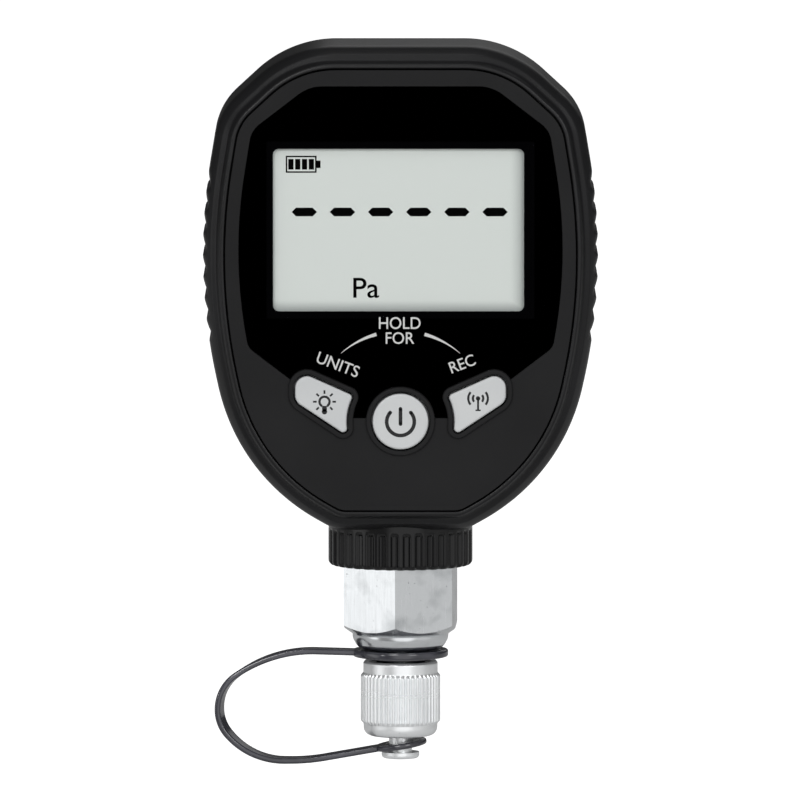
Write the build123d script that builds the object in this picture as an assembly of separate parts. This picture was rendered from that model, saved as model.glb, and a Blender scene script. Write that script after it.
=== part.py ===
"""Digital vacuum gauge with a capped flare fitting.

Millimetres, +Z up, the display faces -Y. The origin is the tip of the flare
seat, on the fitting's axis. "Forward" means towards -Y: a forward depth f is
the plane y = -f.
"""
import math
import os

from build123d import *

# Case outline, seen from the front: corners of one half as (x, z), each with its radius
body_top = 138.9
body_bottom = 40.2
crown_corner_x = 22.4
crown_radius = 24.0
shoulder_corner = (36.9, 125.6)
shoulder_radius = 14.0
flank_corner = (42.3, 93.1)
flank_radius = 118.0
chin_corner = (33.1, 51.4)
chin_radius = 41.0
heel_corner_x = 13.3
heel_radius = 9.0

# Depths forward of the case's middle plane
face_depth = 19.0
ledge_depth = 15.2
wall = 2.0
front_wall = 2.6
back_wall = 1.8

# Insets from the case outline
rubber_thickness = 2.6
rubber_fit = 0.1
lip_inset = 4.35
seam_gap = 0.3

# Rubber bumper section
grip_half_depth = 10.5
side_bulge = 0.3
side_bulge_depth = 12.8
crest_inset = 1.6
crest_depth = 16.2
valley_inset = 2.9
valley_depth = 16.9
lip_outer_inset = 3.65
lip_depth = 18.7
grip_grooves = 8
grip_pitch = 4.3
grip_middle_z = 95.4
grip_groove_depth = 0.58
grip_groove_reach = 3.5
grip_steep_share = 0.36
opening_height = 9.0

# Display lens
lens_thickness = 1.5
lens_crown = (18.5, 130.9, 8.0)
lens_shoulder = (30.1, 122.0, 5.0)
lens_flank = (34.2, 96.6, 100.0)
lens_corner = (30.8, 78.0, 3.0)
lens_wedge = (12.0, 63.7, 0.0)
lens_fit = 0.12
lens_sink = 0.08

# Display module
display_z = 101.7
window_width = 51.1
window_height = 32.8
window_margin = 1.6
glass_width = 57.0
glass_height = 39.0
glass_thickness = 2.2
strip_gap = 0.7
backlight_thickness = 2.6
frame_wall = 1.4
strip_height = 1.8

# Keys
power_z = 62.97
power_radius = 5.65
side_key_inner_radius = 10.95
side_key_top = (13.45, 69.95)
side_key_top_slope = 24.0
side_key_bottom = (13.46, 61.83)
side_key_bottom_slope = 33.6
side_key_end_x = 21.35
side_key_end_radius = 2.4
side_key_tip_radius = 0.8
key_fit = 0.3
rim_width = 1.35
rim_height = 0.6
rim_edge = 0.3
key_height = 1.0
key_edge = 0.45
key_flange = 0.9
key_flange_thickness = 1.0
key_stop_gap = 0.1
key_travel = 0.6
plunger_radius = 1.8
plunger_length = 2.7
dome_base_radius = 4.0
dome_top_radius = 2.4
mat_thickness = 0.8
mat_side_margin = 6.0
mat_height = 15.0
mat_corner = 3.0

# Circuit board and what it carries
board_depth = 9.6
board_thickness = 1.6
board_rise = 2.0
board_fit = 0.6
chip_size = 10.0
chip_height = 1.4
radio_width = 16.0
radio_height = 12.0
radio_thickness = 2.0
radio_rise = 22.0

# Case screws
upper_screw_x = 20.0
lower_screw = (21.5, 57.5)
boss_gap = 0.8
screw_radius = 1.5
screw_head_radius = 2.7
screw_head_height = 1.8
screw_sink = 3.4
screw_grip = 11.0
boss_radius = 3.1
hole_fit = 0.1

# Gasket between the two case halves
gasket_width = 0.9
gasket_depth = 0.8
gasket_inset = 0.55

# Batteries, size AAA, and their bay in the rear case
cell_count = 3
cell_radius = 5.25
cell_length = 44.5
cell_pitch = 10.9
cell_back_gap = 0.75
cell_nub_radius = 1.9
cell_nub_height = 0.9
contact_reach = 1.9
contact_thickness = 0.35
contact_width = 7.0
bay_wall = 1.4
bay_fit = 0.35
cover_side_margin = 1.9
cover_top_margin = 2.2
cover_foot = 8.6
cover_radius = 4.0
cover_fit = 0.15
cover_ledge = 1.6
cover_rib_width = 1.2
cover_rib_height = 3.0
cover_rib_end = 3.0
cover_screw_radius = 1.25
cover_screw_head_radius = 2.3

# Collar ring
collar_radius = 14.7
collar_bottom = 32.0
collar_gap = 0.2
collar_plain_height = 3.2
collar_ribs = 36
collar_rib_depth = 0.55
collar_rib_share = 0.52
collar_edge = 1.0
collar_opening_fit = 0.25
collar_socket_depth = 1.6
neck_length = 4.6

# Metal fitting
hex_across_flats = 22.225
hex_turn = -5.0
hex_bottom = 18.8
hex_chamfer_angle = 35.0
barrel_radius = 11.0
barrel_reach = 0.5
shoulder_r = 9.8
shoulder_bottom = 14.8
shoulder_side_bottom = 16.3
shoulder_foot_radius = 8.0
shoulder_steps = 5
neck_radius = 4.8
neck_bottom = 12.4
flare_thread_radius = 5.5
flare_thread_bottom = 2.75
nose_radius = 2.8
nose_length = 2.1
bore_radius = 2.4
chamber_radius = 6.5
chamber_bottom = 37.2
thread_fit = 0.06

# Lock nut inside the case and the seal under the neck
nut_across_flats = 27.0
nut_thickness = 3.0
seal_thickness = 0.8

# Sensor
sensor_flange_radius = 6.3
sensor_flange_thickness = 1.2
sensor_can_radius = 4.2
sensor_can_height = 6.0
sensor_lead_radius = 0.25
sensor_lead_circle = 2.6
sensor_leads_count = 4
sensor_seal_width = 1.6
sensor_board_radius = 10.0
sensor_board_thickness = 1.2
flex_width = 6.0
flex_thickness = 0.3
flex_rise = 3.0
flex_overlap = 5.0

# Flare cap
cap_top = 12.3
cap_bottom = -3.1
cap_floor = 1.0
cap_band_radius = 7.6
cap_foot_radius = 7.5
cap_knurl_radius = 8.15
cap_knurl_top = 9.8
cap_knurl_bottom = -0.5
cap_knurl_depth = 0.5
cap_knurl_teeth = 48
cap_foot_round = 1.8
cap_mouth_radius = 6.7
cap_mouth_depth = 1.1
cap_bore_fit = 0.08
cap_seal_thickness = 1.2
cap_seal_gap = 0.1
cap_off_travel = 12.5

# Swivel rivet
rivet_radius = 2.35
rivet_fit = 0.08
rivet_head_radius = 3.85
rivet_head_top = -6.45
rivet_head_thickness = 1.3
rivet_inner_head_radius = 3.4
rivet_inner_head_thickness = 0.7

# Tether: one moulded strap, its line in the XZ plane from the ring to the eyelet
tether_thickness = 1.2
tether_width = 4.4
ring_outer_radius = 9.75
ring_inner_radius = 5.75
ring_thickness = 1.5
ring_gap = 0.15
hub_radius = 6.5
hub_drop = 0.55
tether_line = [(-8.0, 14.0), (-26.2, 14.5), (-37.0, 6.7), (-37.0, -0.7), (-30.3, -8.2), (-18.8, -8.2)]
tether_radii = [26.5, 8.3, 7.8, 15.0, 40.0]
eyelet_z = -5.0
eyelet_tilt = 9.0
eyelet_outer_radius = 5.4
eyelet_inner_radius = 2.75

# Sizes that follow from the ones above
collar_top = body_bottom + rubber_thickness + rubber_fit - collar_gap
collar_rib_top = collar_top - collar_plain_height
barrel_top = collar_top + neck_length + nut_thickness + barrel_reach
board_bottom = barrel_top + sensor_board_thickness + board_rise
cell_depth = -(face_depth - back_wall - cell_back_gap - cell_radius)
backlight_height = glass_height - 2 * (strip_height + strip_gap)
upper_screw = (upper_screw_x, display_z + glass_height / 2 + frame_wall + boss_gap + boss_radius)


def forward(sketch, start, end):
    """Solid with a front-view outline, between two forward depths."""
    low = min(start, end)
    return extrude(Plane.XZ.offset(low) * sketch, abs(end - start))


def mirrored(points):
    """A right half's (x, z) points, followed by their mirror images in reverse."""
    return points + [(-x, z) for x, z in reversed(points)]


def moved_in(points, inset):
    """Corners of a convex outline after each of its sides is moved inwards."""
    moved = []
    for index, point in enumerate(points):
        corner = Vector(*point)
        before = (Vector(*points[index - 1]) - corner).normalized()
        after = (Vector(*points[(index + 1) % len(points)]) - corner).normalized()
        half_angle = math.radians(before.get_angle(after)) / 2
        place = corner + (before + after).normalized() * (inset / math.sin(half_angle))
        moved.append((place.X, place.Y))
    return moved


def fitted_radii(half_corners):
    """Radii of a mirrored outline's corners, made smaller where two roundings would meet."""
    points = mirrored([(x, z) for x, z, _ in half_corners])
    radii = [radius for _, _, radius in half_corners]
    radii += radii[::-1]
    runs = []
    for index, point in enumerate(points):
        corner = Vector(*point)
        before = (Vector(*points[index - 1]) - corner).normalized()
        after = (Vector(*points[(index + 1) % len(points)]) - corner).normalized()
        runs.append(radii[index] / math.tan(math.radians(before.get_angle(after)) / 2))
    shares = [1.0] * len(points)
    for index, point in enumerate(points):
        side = math.dist(points[index - 1], point)
        share = min(1.0, 0.98 * side / (runs[index - 1] + runs[index] + 0.001))
        shares[index - 1] = min(shares[index - 1], share)
        shares[index] = min(shares[index], share)
    return [radius * share for radius, share in zip(radii, shares)]


def rounded_face(half_corners, inset=0.0):
    """Closed outline from the right half's (x, z, radius) corners, moved inwards by an inset."""
    points = mirrored([(x, z) for x, z, _ in half_corners])
    radii = [max(radius - inset, 0.0) for radius in fitted_radii(half_corners)]
    return make_face(FilletPolyline(*moved_in(points, inset), radius=radii, close=True))


def case_corners():
    """The case outline's corners, from the crown down to the heel."""
    return [
        (crown_corner_x, body_top, crown_radius),
        (*shoulder_corner, shoulder_radius),
        (*flank_corner, flank_radius),
        (*chin_corner, chin_radius),
        (heel_corner_x, body_bottom, heel_radius),
    ]


def case_outline(inset=0.0):
    """Front-view outline of the case, moved inwards by an inset."""
    return rounded_face(case_corners(), inset)


def flank_x(z):
    """Half width of the case outline on its long bulging flank, at a height."""
    radius = fitted_radii(case_corners())[2]
    corner = Vector(*flank_corner)
    to_shoulder = (Vector(*shoulder_corner) - corner).normalized()
    to_chin = (Vector(*chin_corner) - corner).normalized()
    half_angle = math.radians(to_shoulder.get_angle(to_chin)) / 2
    middle = corner + (to_shoulder + to_chin).normalized() * (radius / math.sin(half_angle))
    return middle.X + math.sqrt(radius**2 - (z - middle.Y) ** 2)


def case_inner_inset():
    """Inset of the case wall's inner face from the case outline."""
    return rubber_thickness + rubber_fit + wall


def face_inset():
    """Inset of the raised front and back faces from the case outline."""
    return lip_inset + seam_gap


def turned(points):
    """Solid of revolution about Z from a closed (radius, z) profile."""
    return revolve(Plane.XZ * make_face(Polyline(*points, close=True)), Axis.Z)


def tube(outer, inner, bottom, top):
    """Plain ring about Z."""
    ring = Circle(outer) - Circle(inner)
    return extrude(Plane.XY.offset(bottom) * ring, top - bottom)


def rod(radius, bottom, top):
    """Plain cylinder about Z."""
    return extrude(Plane.XY.offset(bottom) * Circle(radius), top - bottom)


def band_side(points, radii, shift):
    """One side of a bent band: its middle line moved to the left by a shift."""
    ways = [(Vector(*b) - Vector(*a)).normalized() for a, b in zip(points, points[1:])]
    lefts = [Vector(-way.Y, way.X) for way in ways]
    places = [Vector(*points[0]) + lefts[0] * shift]
    moved_radii = []
    for index, radius in enumerate(radii):
        left = (lefts[index] + lefts[index + 1]).normalized()
        reach = shift / left.dot(lefts[index])
        places.append(Vector(*points[index + 1]) + left * reach)
        turns_left = ways[index].X * ways[index + 1].Y - ways[index].Y * ways[index + 1].X > 0
        moved_radii.append(radius - shift if turns_left else radius + shift)
    places.append(Vector(*points[-1]) + lefts[-1] * shift)
    return FilletPolyline(*places, radius=moved_radii)


def band_face(points, radii, thickness):
    """Flat strip of even thickness along a polyline with rounded bends."""
    one = band_side(points, radii, thickness / 2)
    other = band_side(points, radii, -thickness / 2)
    return make_face(one + other + Line(one @ 0, other @ 0) + Line(one @ 1, other @ 1))


def screw_places():
    """Places of the four case screws as (x, z)."""
    return [(side * x, z) for x, z in (upper_screw, lower_screw) for side in (1, -1)]


def bosses(radius, start, end):
    """Round posts at the case screws."""
    posts = Sketch() + [Pos(x, z) * Circle(radius) for x, z in screw_places()]
    return forward(posts, start, end)


# Rubber bumper
def bumper_section():
    """Section of the bumper as (inset, forward depth), front half then back half."""
    front = [
        (0.0, grip_half_depth),
        (side_bulge, side_bulge_depth),
        (crest_inset * 0.55, (side_bulge_depth + crest_depth) / 2 + 0.35),
        (crest_inset, crest_depth),
        (valley_inset, valley_depth),
        (lip_outer_inset, lip_depth - 0.35),
        (lip_outer_inset + 0.25, lip_depth),
        (lip_inset, lip_depth),
        (lip_inset, ledge_depth + rubber_fit),
        (rubber_thickness, ledge_depth + rubber_fit),
    ]
    return front + [(inset, -depth) for inset, depth in reversed(front)]


def bumper():
    """Rubber sleeve round the case, with ribbed grips and an opening for the collar."""
    path = (Plane.XZ * case_outline()).face().outer_wire()
    start = path @ 0
    ahead = Vector(0, -1, 0)
    inwards = (path % 0).cross(ahead)
    if inwards.dot(Vector(0, 0, grip_middle_z) - start) < 0:
        inwards = -inwards
    section_plane = Plane(origin=start, x_dir=inwards, z_dir=inwards.cross(ahead))
    profile = section_plane * make_face(Polyline(*bumper_section(), close=True))
    hoop = sweep(profile, path=path)
    hoop -= rod(collar_radius + collar_opening_fit, body_bottom - 1, body_bottom + opening_height)
    for side in (1, -1):
        for place in range(grip_grooves):
            hoop -= grip_groove(side, place)
    return hoop


def grip_groove(side, place):
    """One notch between two ribs of a grip: a long easy slope down and a steep one back."""
    top = grip_middle_z + grip_pitch * ((grip_grooves - 1) / 2 - place + 0.5)
    bottom = top - grip_pitch
    low = bottom + grip_pitch * grip_steep_share
    clear = 2.0
    notch = [
        (side * flank_x(top), top),
        (side * (flank_x(low) - grip_groove_depth), low),
        (side * flank_x(bottom), bottom),
        (side * (flank_x(bottom) + clear), bottom),
        (side * (flank_x(top) + clear), top),
    ]
    shape = make_face(Polyline(*notch, close=True))
    reach = grip_half_depth + grip_groove_reach
    return forward(shape, -reach, reach)


# Keys
def side_key_outline(grow=0.0):
    """Right-hand side key's outline: a slanted bar whose inner end follows the power key."""
    top_x, top_z = side_key_top
    bottom_x, bottom_z = side_key_bottom
    top_rise = math.tan(math.radians(side_key_top_slope))
    bottom_rise = math.tan(math.radians(side_key_bottom_slope))
    inner_x = power_radius
    bar = [
        (inner_x, bottom_z + (inner_x - bottom_x) * bottom_rise),
        (side_key_end_x, bottom_z + (side_key_end_x - bottom_x) * bottom_rise),
        (side_key_end_x, top_z + (side_key_end_x - top_x) * top_rise),
        (inner_x, top_z + (inner_x - top_x) * top_rise),
    ]
    outline = make_face(Polyline(*bar, close=True))
    outer = [v for v in outline.vertices() if v.X > side_key_end_x - 0.01]
    outline = fillet(outer, side_key_end_radius)
    outline -= Pos(0, power_z) * Circle(side_key_inner_radius)
    tips = [v for v in outline.vertices() if v.X < side_key_end_x / 2]
    tips = sorted(tips, key=lambda v: v.X)[:2]
    outline = fillet(tips, side_key_tip_radius)
    return offset(outline, amount=grow) if grow else outline


def power_key_outline(grow=0.0):
    """Round power key's outline."""
    return Pos(0, power_z) * Circle(power_radius + grow)


def key_outlines(grow=0.0):
    """Outlines of the three keys: power, right and left."""
    right = side_key_outline(grow)
    return power_key_outline(grow), right, mirror(right, Plane.YZ)


def key_solid(outline, flange, plunger_place):
    """One key cap: rounded plug, retaining flange behind the case wall, and plunger."""
    inner_face = face_depth - front_wall
    cap = forward(outline, inner_face - key_stop_gap, face_depth + key_height)
    rim_edges = cap.faces().sort_by(Axis.Y)[0].edges()
    cap = fillet(rim_edges, key_edge)
    back = inner_face - key_stop_gap
    cap += forward(flange, back - key_flange_thickness, back)
    stem = Pos(*plunger_place) * Circle(plunger_radius)
    cap += forward(stem, back - key_flange_thickness - plunger_length, back - key_flange_thickness)
    return cap


def side_key_middle():
    """Middle of the right-hand side key as (x, z)."""
    middle = side_key_outline().face().center()
    return middle.X, middle.Y


def power_key():
    """Round key in the middle."""
    return key_solid(power_key_outline(), power_key_outline(key_flange), (0, power_z))


def link_key():
    """Right-hand side key."""
    return key_solid(side_key_outline(), side_key_outline(key_flange), side_key_middle())


def light_key():
    """Left-hand side key, the mirror image of the right-hand one."""
    return mirror(link_key(), Plane.YZ)


def keypad_mat():
    """Silicone sheet on the board, with a dome behind each key's plunger."""
    x, z = side_key_middle()
    sheet = RectangleRounded(2 * (x + mat_side_margin), mat_height, mat_corner)
    mat = forward(Pos(0, (z + power_z) / 2) * sheet, board_depth, board_depth + mat_thickness)
    dome_top = plunger_tip() - key_travel - key_stop_gap
    for place in ((0, power_z), (x, z), (-x, z)):
        foot = Plane.XZ.offset(board_depth + mat_thickness) * Pos(*place) * Circle(dome_base_radius)
        head = Plane.XZ.offset(dome_top) * Pos(*place) * Circle(dome_top_radius)
        mat += loft([foot.face(), head.face()])
    return mat - bosses(boss_radius + 0.2, board_depth, dome_top)


def plunger_tip():
    """Forward depth of the keys' plunger ends at rest."""
    return face_depth - front_wall - key_stop_gap - key_flange_thickness - plunger_length


# Case
def lens_outline(grow=0.0):
    """Display lens outline, cut away round the rims of the three keys."""
    outline = rounded_face([lens_crown, lens_shoulder, lens_flank, lens_corner, lens_wedge], -grow)
    for key in key_outlines(rim_width + lens_fit - grow):
        outline -= key
    return max(outline.faces(), key=lambda face: face.area)


def window_outline(margin=0.0):
    """Display window's rectangle."""
    return Pos(0, display_z) * Rectangle(window_width + 2 * margin, window_height + 2 * margin)


def neck_boss():
    """Round boss in the case floor that the collar seats against."""
    return rod(collar_radius - 0.1, collar_top + 0.1, collar_top + neck_length)


def barrel_hole():
    """Hole through the case floor for the fitting's barrel."""
    return rod(barrel_radius + thread_fit + 0.1, body_bottom, barrel_top + 2)


def case_shell(back):
    """Shell of one case half; back is True for the rear one."""
    side = -1 if back else 1
    skin = back_wall if back else front_wall
    shell = forward(case_outline(rubber_thickness + rubber_fit), 0, side * ledge_depth)
    shell += forward(case_outline(face_inset()), 0, side * face_depth)
    shell -= forward(case_outline(case_inner_inset()), 0, side * (ledge_depth - wall))
    shell -= forward(case_outline(face_inset() + wall), 0, side * (face_depth - skin))
    return shell


def half_space(back):
    """Box that keeps one case half's side of the parting plane."""
    side = -1 if back else 1
    return forward(Pos(0, body_top / 2) * Rectangle(3 * body_top, 3 * body_top), 0, side * 2 * face_depth)


def key_rim(outline, aperture):
    """Raised ring round one key, its top edges rounded."""
    top = face_depth + rim_height
    rim = forward(outline, face_depth - front_wall, top) - forward(aperture, face_depth, top)
    return fillet(rim.faces().sort_by(Axis.Y)[0].edges(), rim_edge)


def front_case():
    """Front shell: lens recess, display window, rimmed key apertures and screw bosses."""
    inner_face = face_depth - front_wall
    shell = case_shell(back=False)
    shell += bosses(boss_radius, 0, inner_face)
    shell += neck_boss() & half_space(back=False)
    for rim, aperture in zip(key_outlines(rim_width), key_outlines(key_fit)):
        shell += key_rim(rim, aperture)
    shell -= forward(lens_outline(lens_fit), face_depth - lens_thickness - lens_sink, face_depth + 1)
    shell -= forward(window_outline(window_margin), inner_face - 1, face_depth)
    for aperture in key_outlines(key_fit):
        shell -= forward(aperture, inner_face - 1, face_depth + rim_height + 1)
    shell -= bosses(screw_radius + hole_fit, -1, screw_grip)
    shell -= barrel_hole()
    return shell


def rear_case():
    """Rear shell: battery bay, cover opening with its ledge, screw bosses and gasket groove."""
    inner_face = face_depth - back_wall
    shell = case_shell(back=True)
    shell += bosses(boss_radius, 0, -inner_face)
    shell += neck_boss() & half_space(back=True)
    shell += battery_bay()
    shell -= forward(cover_outline(cover_fit), -inner_face, -face_depth - 1)
    shell -= bay_hollow(-face_depth)
    shell -= cover_screw_hole()
    shell -= bosses(screw_radius + hole_fit, 1, -face_depth - 1)
    shell -= bosses(screw_head_radius + hole_fit, -face_depth - 1, -face_depth + screw_sink)
    groove = case_outline(groove_inset()) - case_outline(groove_inset() + gasket_width + 2 * hole_fit)
    shell -= forward(groove, 0, -gasket_depth - hole_fit) - neck_boss()
    shell -= barrel_hole()
    return shell


def groove_inset():
    """Inset of the gasket groove's outer side from the case outline."""
    return rubber_thickness + rubber_fit + gasket_inset - hole_fit


def case_gasket():
    """Seal between the case halves, open where the neck passes."""
    band = case_outline(groove_inset() + hole_fit)
    band -= case_outline(groove_inset() + hole_fit + gasket_width)
    opening = rod(collar_radius + hole_fit, body_bottom, collar_top + neck_length + hole_fit)
    return forward(band, -gasket_depth, 0) - opening


# Batteries and their bay
def bay_size():
    """Inner width and height of the battery bay."""
    width = (cell_count - 1) * cell_pitch + 2 * cell_radius + 2 * bay_fit
    height = cell_length + 2 * (contact_reach + contact_thickness)
    return width, height


def bay_middle():
    """Height of the battery bay's middle."""
    return display_z - 11.0


def bay_floor():
    """Forward depth of the battery bay's floor."""
    return cell_depth + cell_radius + bay_fit


def bay_outline(grow=0.0):
    """Battery bay's inner rectangle."""
    width, height = bay_size()
    return Pos(0, bay_middle()) * Rectangle(width + 2 * grow, height + 2 * grow)


def bay_hollow(depth):
    """Space inside the battery bay, from its floor back to a depth."""
    return forward(bay_outline(), bay_floor(), depth)


def battery_bay():
    """Walls and floor of the bay, the ledge for the cover and the cover screw's post."""
    inner_face = face_depth - back_wall
    bay = forward(bay_outline(bay_wall), bay_floor() + bay_wall, -inner_face)
    bay += forward(cover_outline(cover_ledge), -inner_face + bay_wall, -inner_face)
    post_x, post_z = cover_screw_place()
    bay += forward(Pos(post_x, post_z) * Circle(boss_radius), bay_floor(), -inner_face)
    return bay


def cover_outline(grow=0.0):
    """Battery cover's outline, with a foot below the bay for its screw."""
    width, height = bay_size()
    full_width = width + 2 * (cover_side_margin + grow)
    full_height = height + cover_top_margin + cover_foot + 2 * grow
    middle = bay_middle() + (cover_top_margin - cover_foot) / 2
    return Pos(0, middle) * RectangleRounded(full_width, full_height, cover_radius)


def cover_screw_place():
    """Place of the cover's screw as (x, z)."""
    _, height = bay_size()
    return 0.0, bay_middle() - height / 2 - bay_wall - cover_foot / 2 + 0.9


def cover_screw_hole():
    """Hole in the rear case for the cover's screw."""
    hole = Pos(*cover_screw_place()) * Circle(cover_screw_radius + hole_fit)
    return forward(hole, bay_floor() - 1, -face_depth)


def battery_cover():
    """Flat cover over the battery bay, with ribs that hold the cells and a screw seat."""
    inner_face = face_depth - back_wall
    cover = forward(cover_outline(), -inner_face, -face_depth)
    back_edges = cover.faces().sort_by(Axis.Y)[-1].edges()
    cover = chamfer(back_edges, 0.3)
    for place in (-cell_pitch / 2, cell_pitch / 2):
        rib = Pos(place, bay_middle()) * Rectangle(cover_rib_width, cell_length - 2 * cover_rib_end)
        cover += forward(rib, -inner_face + cover_rib_height, -inner_face)
    hole = Pos(*cover_screw_place()) * Circle(cover_screw_radius + hole_fit)
    seat = Pos(*cover_screw_place()) * Circle(cover_screw_head_radius + hole_fit)
    cover -= forward(hole, -inner_face, -face_depth)
    cover -= forward(seat, -face_depth + 1.0, -face_depth - 1)
    for notch in range(3):
        groove = Pos(0, bay_middle() + 14 + 1.8 * notch) * SlotOverall(12, 0.9)
        cover -= forward(groove, -face_depth + 0.4, -face_depth - 1)
    return cover


def cross_recess(radius, depth):
    """Cross-shaped tool for a screw's drive, centred on the origin."""
    arms = Rectangle(2 * radius, radius * 0.45) + Rectangle(radius * 0.45, 2 * radius)
    return extrude(arms, depth)


def rear_screw(place, head_depth, tip_depth, radius, head_radius, head_height):
    """Pan-head screw driven forward from the back of the case."""
    head = forward(Pos(*place) * Circle(head_radius), head_depth, head_depth + head_height)
    rim = head.faces().sort_by(Axis.Y)[-1].edges()
    screw = chamfer(rim, head_height * 0.3)
    screw += forward(Pos(*place) * Circle(radius), head_depth + head_height, tip_depth)
    drive = Plane.XZ.offset(head_depth) * Pos(*place) * cross_recess(head_radius * 0.55, head_height * 0.5)
    return screw - drive


def case_screws():
    """Four screws that hold the case halves together."""
    seat = -face_depth + screw_sink
    screws = []
    head = seat - screw_head_height
    for place in screw_places():
        screw = rear_screw(place, head, screw_grip - 1, screw_radius, screw_head_radius, screw_head_height)
        screws.append(screw)
    return screws


def battery_cover_screw():
    """Screw that holds the battery cover."""
    head_height = 0.9
    head = -face_depth + 1.0 - head_height
    return rear_screw(
        cover_screw_place(), head, bay_floor() - 2, cover_screw_radius, cover_screw_head_radius, head_height
    )


def cell(place, flipped):
    """One AAA cell with its positive nub."""
    body = cell_length - cell_nub_height
    shape = extrude(Circle(cell_radius), body)
    shape = chamfer(shape.edges().filter_by(GeomType.CIRCLE), 0.4)
    shape += Pos(0, 0, body) * extrude(Circle(cell_nub_radius), cell_nub_height)
    shape = Pos(0, 0, -cell_length / 2) * shape
    if flipped:
        shape = Rot(180, 0, 0) * shape
    return Pos(place, -cell_depth, bay_middle()) * shape


def cell_places():
    """Sideways places of the cells."""
    return [cell_pitch * (index - (cell_count - 1) / 2) for index in range(cell_count)]


def batteries():
    """The cells, each one turned end for end against its neighbour."""
    return [cell(place, index % 2 == 1) for index, place in enumerate(cell_places())]


def battery_contacts():
    """Bowed leaf contacts at both ends of each cell."""
    _, height = bay_size()
    end = height / 2
    contacts = []
    for place in cell_places():
        for way in (1, -1):
            wall_z = bay_middle() + way * end
            crest = wall_z - way * (contact_reach + contact_thickness)
            half = cell_radius - 1.0
            outer = [(-half, wall_z), (0, crest), (half, wall_z)]
            inner = [(half - 0.9, wall_z), (0, crest + way * contact_thickness), (-half + 0.9, wall_z)]
            bow = ThreePointArc(*outer)
            bow += Line(outer[-1], inner[0])
            bow += ThreePointArc(*inner)
            bow += Line(inner[-1], outer[0])
            leaf = make_face(bow)
            strip = Plane.YZ.offset(place - contact_width / 2) * Pos(-cell_depth, 0) * leaf
            contacts.append(extrude(strip, contact_width))
    return contacts


# Display stack
def display_lens():
    """Clear window plate in the front recess."""
    back = face_depth - lens_thickness - lens_sink
    lens = forward(lens_outline(), back, face_depth - lens_sink)
    return lens


def glass_front():
    """Forward depth of the display glass's front face."""
    return face_depth - front_wall


def lcd_glass():
    """Display cell: the front glass stands over the rear glass at its contact edge."""
    front_half = glass_thickness / 2
    front = glass_front()
    front_plate = Pos(0, display_z) * Rectangle(glass_width, glass_height - 2 * strip_height)
    rear_plate = Pos(0, display_z) * Rectangle(glass_width, glass_height)
    glass = forward(front_plate, front, front - front_half)
    return glass + forward(rear_plate, front - front_half, front - glass_thickness)


def backlight():
    """Light guide plate behind the display glass."""
    back = glass_front() - glass_thickness
    plate = Pos(0, display_z) * Rectangle(glass_width - 1.0, backlight_height)
    return forward(plate, back - backlight_thickness, back)


def lcd_frame():
    """Frame that holds the display glass to the board."""
    outer = RectangleRounded(glass_width + 2 * frame_wall, glass_height + 2 * frame_wall, frame_wall)
    inner = Rectangle(glass_width + 2 * hole_fit, glass_height + 2 * hole_fit)
    return forward(Pos(0, display_z) * (outer - inner), board_depth, glass_front())


def zebra_strips():
    """Conductive rubber strips from the board to the glass's contact edges."""
    back = glass_front() - glass_thickness
    strips = []
    for way in (1, -1):
        z = display_z + way * (glass_height - strip_height) / 2
        strips.append(forward(Pos(0, z) * Rectangle(glass_width - 4, strip_height), board_depth, back))
    return strips


def main_pcb():
    """Circuit board with clearance holes round the case bosses."""
    back = board_depth - board_thickness
    board = forward(case_outline(case_inner_inset() + board_fit), back, board_depth)
    below = Pos(0, body_bottom) * Rectangle(2 * flank_corner[0], 2 * (board_bottom - body_bottom))
    board -= forward(below, back - 1, board_depth + 1)
    return board - bosses(boss_radius + 0.2, back - 1, board_depth + 1)


def processor_chip():
    """Flat processor package on the back of the board."""
    face = board_depth - board_thickness
    return forward(Pos(0, display_z) * RectangleRounded(chip_size, chip_size, 0.4), face - chip_height, face)


def radio_module():
    """Wireless module: small carrier with a metal can, above the processor."""
    face = board_depth - board_thickness
    carrier = Pos(0, display_z + radio_rise) * Rectangle(radio_width, radio_height)
    can = Pos(1.5, display_z + radio_rise) * RectangleRounded(radio_width - 5, radio_height - 2, 0.6)
    module = forward(carrier, face - 0.8, face)
    return module + forward(can, face - radio_thickness, face - 0.8)


# Collar, fitting and sensor
def collar_nut():
    """Ribbed ring that closes the case's neck."""
    collar = rod(collar_radius, collar_bottom, collar_top)
    edge = [e for e in collar.edges().filter_by(GeomType.CIRCLE) if e.center().Z < collar_bottom + 0.1]
    collar = chamfer(edge, collar_edge)
    pitch = 360 / collar_ribs
    half_gap = math.radians(pitch * (1 - collar_rib_share)) / 2
    far = collar_radius + 1
    groove = Polyline(
        (collar_radius - collar_rib_depth, 0),
        (far * math.cos(half_gap * 1.15), far * math.sin(half_gap * 1.15)),
        (far * math.cos(half_gap * 1.15), -far * math.sin(half_gap * 1.15)),
        close=True,
    )
    gap = Plane.XY.offset(collar_bottom - 1) * make_face(groove)
    cutter = extrude(gap, collar_rib_top - collar_bottom + 1)
    for index in range(collar_ribs):
        collar -= Rot(0, 0, pitch * (index + 0.5)) * cutter
    collar -= rod(barrel_radius + thread_fit, collar_bottom - 1, collar_top + 1)
    collar -= rod(hex_corner_radius() + 0.15, collar_bottom - 1, collar_bottom + collar_socket_depth)
    collar -= tube(seal_outer_radius() + hole_fit, barrel_radius, collar_top - seal_thickness, collar_top + 1)
    return collar


def seal_outer_radius():
    """Outer radius of the flat seal in the collar's top."""
    return collar_radius - 1.4


def neck_seal():
    """Flat ring between the collar and the case neck."""
    inner = barrel_radius + thread_fit + 0.1
    return tube(seal_outer_radius(), inner, collar_top - seal_thickness, collar_top + 0.1)


def hex_corner_radius():
    """Radius over the hexagon's corners."""
    return hex_across_flats / math.sqrt(3)


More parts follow.
